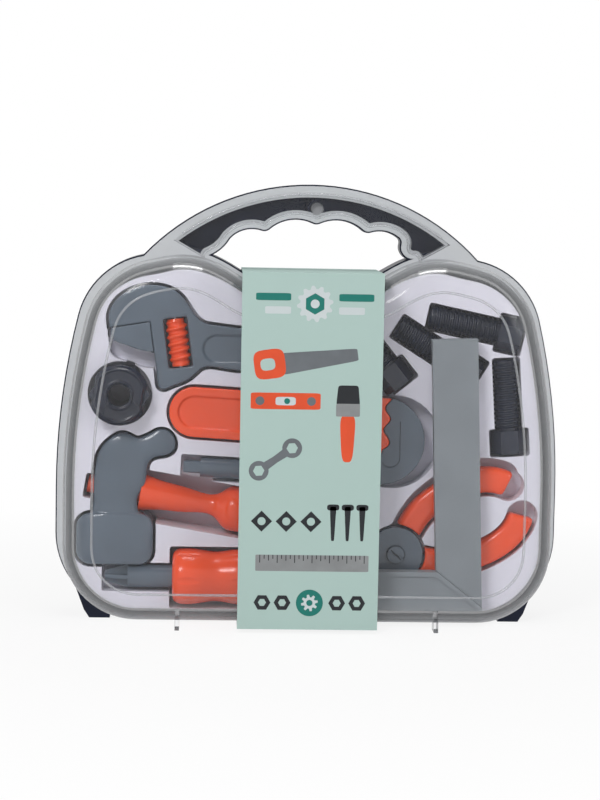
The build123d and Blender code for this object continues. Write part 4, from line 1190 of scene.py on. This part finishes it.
@dataclass
class Pliers:
    """Grey slip-joint pliers with orange grips and a slotted screw.

    Args (fields):
        mouldings: Their soft-edged pieces.
        pivot: Place of the screw across the case and its height in metres.
        screw_radius: Radius of the screw head.
        line_radius: Radius of the painted shade line round the head.
        rim_steps: Corners along that line.
        slot_lean: Turn of the screw's slot in degrees.
        slot_half: Half width of the slot.
        slot_reach: Share of the head's radius that the slot reaches.
        slot_sink: Share of its half width by which it lies in the head.
        slot_steps: Corners along the slot.
    """

    mouldings: tuple[Moulding, ...] = (
        Moulding("pliers_fixed", "pliers_fixed_half", TOOL_GREY, Body.CASE, Slot.GREY, 0.5 * MM, 3),
        Moulding("pliers_moving", "pliers_moving_half", TOOL_GREY, Body.PLIERS_ARM, Slot.GREY, 0.5 * MM, 3),
        Moulding("pliers_grip_lower", "pliers_lower_grip", ORANGE, Body.CASE, Slot.ORANGE, 0.6 * MM, 26),
        Moulding(
            "pliers_grip_upper", "pliers_upper_grip", ORANGE, Body.PLIERS_ARM, Slot.ORANGE, 0.6 * MM, 26,
        ),
    )
    pivot: tuple[float, float] = (50.8 * MM, 38.5 * MM)
    screw_radius: float = 4.9 * MM
    line_radius: float = 0.3 * MM
    rim_steps: int = 73
    slot_lean: float = -45.0
    slot_half: float = 0.6 * MM
    slot_reach: float = 0.82
    slot_sink: float = 0.8
    slot_steps: int = 9

    def build(self) -> None:
        """Rounds both halves and grips, dresses the screw and lays painted shade lines round its head and
        along its slot.
        """
        for moulding in self.mouldings:
            moulding.build()
        dress(TOOL_GREY, "pliers_screw")
        front = float(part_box("pliers_screw")[0][1])
        turn = np.linspace(0.0, math.tau, self.rim_steps)
        x, z = self.pivot
        across, upward = self.screw_radius * np.cos(turn), self.screw_radius * np.sin(turn)
        rim = upright(x + across, front + self.line_radius, z + upward)
        # A dark bead paints the shade in the gap round the screw head.
        finished(bead("pliers_screw_rim_painted_shade", rim, self.line_radius), PAINTED_SHADE_DARK, Body.CASE)
        middle = ToolFrame(x, front + self.slot_half * self.slot_sink, z, self.slot_lean)
        part = np.linspace(-1.0, 1.0, self.slot_steps)[:, None] * self.screw_radius * self.slot_reach
        slot = middle.origin() + part * middle.along()
        # A dark bead paints the shade inside the screw's slot.
        finished(bead("pliers_screw_slot_painted_shade", slot, self.slot_half), PAINTED_SHADE_DARK, Body.CASE)


@dataclass
class TrySquare:
    """Grey try square: thin blade and panelled stock."""

    def build(self) -> None:
        """Dresses blade and stock."""
        dress(SQUARE_GREY, "square_blade", "square_stock")


@dataclass
class Fasteners:
    """Four black bolts with threads, and the stack of nuts.

    Args (fields):
        places: Shank tip and lean of each bolt, in millimetres and degrees.
        axis_y: Place of the bolts' axes front to back in metres.
        thread: The thread on each shank.
        thread_start: Distance from the tip to the thread.
        nut_middle: Place of the nuts' axis across the case and its height.
        bore_radius: Radius of the bore.
        face_radius: Radius of the round front of the top nut.
        face_height: How far it stands off the nut at its middle.
        face_sink: How deep its flat back lies in the nut.
        face_power: How flat its middle is, 2 for a plain dome.
        face_steps: Corners around it and across it.
        hexagon_from: Reach beyond which corners belong to the hexagon, in bore radii.
        notch: Depth of the notch at each side.
        notch_width: Half of the angle that a notch takes, in radians.
        notch_lean: Turn of both notches in radians.
        notch_power: How flat the bottom of a notch is, 2 for a plain bell.
        ridges: Places of the low rings, from 0 at the bore to 1 at the rim.
        ridge_width: Width of a ring in the same share.
        ridge_height: Height of a ring.
    """

    places: tuple[tuple[float, float, float], ...] = (
        (18.6, 175.3, -51.0), (49.4, 167.4, -32.0), (66.8, 173.2, -11.7), (110.3, 149.4, -86.0),
    )
    axis_y: float = 7.0 * MM
    thread: ScrewThread = ScrewThread(39.0 * MM, 6.45 * MM, 7.7 * MM, 2.6 * MM, 7.1 * MM, 16, 56)
    thread_start: float = 0.6 * MM
    nut_middle: tuple[float, float] = (-105.3 * MM, 127.6 * MM)
    bore_radius: float = 6.2 * MM
    face_radius: float = 16.9 * MM
    face_height: float = 1.5 * MM
    face_sink: float = 0.3 * MM
    face_power: int = 6
    face_steps: tuple[int, int] = (144, 41)
    hexagon_from: float = 2.0
    notch: float = 2.8 * MM
    notch_width: float = 0.42
    notch_lean: float = -0.15
    notch_power: int = 4
    ridges: tuple[float, float] = (0.12, 0.76)
    ridge_width: float = 0.07
    ridge_height: float = 0.7 * MM

    def build(self) -> None:
        """Dresses bolts and nuts and adds the threads and the top nut's front."""
        dress(BOLT_BLACK, "bolts", "nuts")
        for number, (x, z, lean) in enumerate(self.places, start=1):
            place = ToolFrame(x * MM, self.axis_y, z * MM, lean)
            sleeve = self.thread.build(f"bolt_thread_{number}", place, self.thread_start)
            finished(sleeve, BOLT_BLACK, Body.CASE)
        finished(self.nut_front(), BOLT_BLACK, Body.CASE)

    def nut_front(self) -> bpy.types.Object:
        """Builds the round front of the top nut: a ring with two notches and two low ridges.

        The rim's reach is the face's radius less the notch depth times a bell of the angle from the nearest
        side. Across the ring the front stands off by its height times one minus a power of the place
        across, plus a bell for each ridge. The back is flat and lies in the nut.

        Returns:
            The ring.
        """
        middle_x, middle_z = self.nut_middle
        places = corners_of("nuts")
        apart = np.hypot(places[:, 0] - middle_x, places[:, 2] - middle_z)
        hexagon = places[apart > self.hexagon_from * self.bore_radius, 1].min()
        turn = even_angles(self.face_steps[0])[:, None]
        share = np.linspace(0.0, 1.0, self.face_steps[1])[None, :]
        sideways = np.arcsin(np.abs(np.sin(turn - self.notch_lean)))
        rim = self.face_radius - self.notch * np.exp(-((sideways / self.notch_width) ** self.notch_power))
        reach = self.bore_radius + (rim - self.bore_radius) * share
        reach = np.concatenate([reach, reach[:, ::-1]], axis=1)
        bells = sum(np.exp(-(((share - place) / self.ridge_width) ** 2)) for place in self.ridges)
        crown = self.face_height * (1.0 - share ** self.face_power)
        height = self.face_sink + crown + self.ridge_height * bells
        depth = hexagon + self.face_sink - np.concatenate([height, np.zeros_like(height)], axis=1)
        x, z = middle_x + reach * np.cos(turn), middle_z + reach * np.sin(turn)
        return tube("nut_front", np.stack([x, np.broadcast_to(depth, x.shape), z], axis=-1))


@dataclass(frozen=True)
class Lamp:
    """Soft square lamp.

    Args (fields):
        name: Name of the lamp.
        place: Where it hangs, in metres.
        size: Side length in metres.
        power: Power in watts.
        aim: Point that it faces.
    """

    name: str
    place: tuple[float, float, float]
    size: float
    power: float
    aim: tuple[float, float, float] = (0.0, 0.0, 0.12)

    def build(self) -> None:
        """Hangs the lamp."""
        data = bpy.data.lights.new(self.name, "AREA")
        data.size = self.size
        data.energy = self.power
        lamp = bpy.data.objects.new(self.name, data)
        lamp.location = self.place
        toward = Vector(self.aim) - Vector(self.place)
        lamp.rotation_euler = toward.to_track_quat("-Z", "Y").to_euler()
        bpy.context.collection.objects.link(lamp)


@dataclass
class Studio:
    """Camera, lamps, floor and world.

    Args (fields):
        target: Point that the camera looks at, in metres.
        distance: Distance of the camera from it.
        elevation: Height of the camera above the horizon in degrees.
        azimuth: Place of the camera to the right of straight ahead in degrees.
        roll: Turn of the camera about its view line in degrees.
        frame_height: Height of the camera's frame in millimetres.
        lens: Focal length for that frame.
        shift: How far the picture is moved across and up, as a share of its height.
        nearest: Distance at which the camera starts to see.
        lamps: The lamps.
        daylight: Strength of the world's light on the case.
        floor_reach: How far the floor reaches to each side.
        floor_drop: How far it lies under the case.
    """

    target: tuple[float, float, float] = (-0.0008, 0.003, 0.124)
    distance: float = 1.150
    elevation: float = 5.7
    azimuth: float = -2.5
    roll: float = 1.1
    frame_height: float = 36.0
    lens: float = 92.25
    shift: tuple[float, float] = (-0.00875, 0.0025)
    nearest: float = 0.05
    lamps: tuple[Lamp, ...] = (
        Lamp("key", (-0.55, -1.1, 0.95), 0.4, 8.6),
        Lamp("fill", (0.9, -0.9, 0.5), 0.5, 2.4),
        Lamp("top", (0.0, -0.1, 1.3), 0.5, 4.2),
    )
    daylight: float = 0.27
    floor_reach: float = 6.0
    floor_drop: float = 0.0002

    def place_camera(self) -> None:
        """Makes the camera at the photograph's angle."""
        tilt, turn, roll = (math.radians(angle) for angle in (self.elevation, self.azimuth, self.roll))
        back = Vector((math.sin(turn) * math.cos(tilt), -math.cos(turn) * math.cos(tilt), math.sin(tilt)))
        right = Vector((0.0, 0.0, 1.0)).cross(back).normalized()
        up = back.cross(right)
        side = right * math.cos(roll) + up * math.sin(roll)
        top = up * math.cos(roll) - right * math.sin(roll)
        data = bpy.data.cameras.new("camera")
        data.sensor_fit = "VERTICAL"
        data.sensor_height = self.frame_height
        data.lens = self.lens
        data.shift_x, data.shift_y = self.shift
        data.clip_start = self.nearest
        camera = bpy.data.objects.new("camera", data)
        axes = Matrix((side, top, back)).transposed()
        camera.matrix_world = Matrix.Translation(Vector(self.target) + back * self.distance) @ axes.to_4x4()
        bpy.context.collection.objects.link(camera)
        bpy.context.scene.camera = camera

    def paint_world(self) -> None:
        """Makes the world: white for rays that see it, plain grey light for the others."""
        world = bpy.data.worlds.new("studio")
        world.use_nodes = True
        graph = Graph(world.node_tree)
        light = graph.tree.nodes["Background"]
        graph.feed(light, {"Color": WHITE, "Strength": self.daylight})
        white = graph.add("ShaderNodeBackground", {"Color": WHITE, "Strength": 1.0})
        both = graph.blend(graph.rays(*SEEN_RAYS), light.outputs[0], white.outputs[0])
        graph.feed(graph.tree.nodes["World Output"], {"Surface": both})
        bpy.context.scene.world = world

    def lay_floor(self) -> None:
        """Lays the pale floor under the case."""
        mesh = bpy.data.meshes.new("floor")
        signs = ((-1, -1), (1, -1), (1, 1), (-1, 1))
        corners = [(x * self.floor_reach, y * self.floor_reach, 0.0) for x, y in signs]
        mesh.from_pydata(corners, [], [(0, 1, 2, 3)])
        floor = bpy.data.objects.new("floor", mesh)
        floor.location.z = -self.floor_drop
        bpy.context.collection.objects.link(floor)
        mesh.materials.append(FLOOR_WHITE.build())

    def build(self) -> None:
        """Builds the whole studio."""
        self.place_camera()
        for lamp in self.lamps:
            lamp.build()
        self.paint_world()
        self.lay_floor()
        bpy.context.scene.view_settings.view_transform = "Standard"


def main() -> None:
    """Builds the looks piece by piece."""
    logging.basicConfig(level=logging.INFO, format="%(message)s")
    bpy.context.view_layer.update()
    for part in (
        CaseShells(), FormedTray(), CardBand(), AdjustableWrench(), PipeWrench(), Hammer(), Screwdriver(),
        Pliers(), TrySquare(), Fasteners(), Studio(),
    ):
        part.build()
        log.info("%s ready", type(part).__name__)


if __name__ == "__main__":
    main()
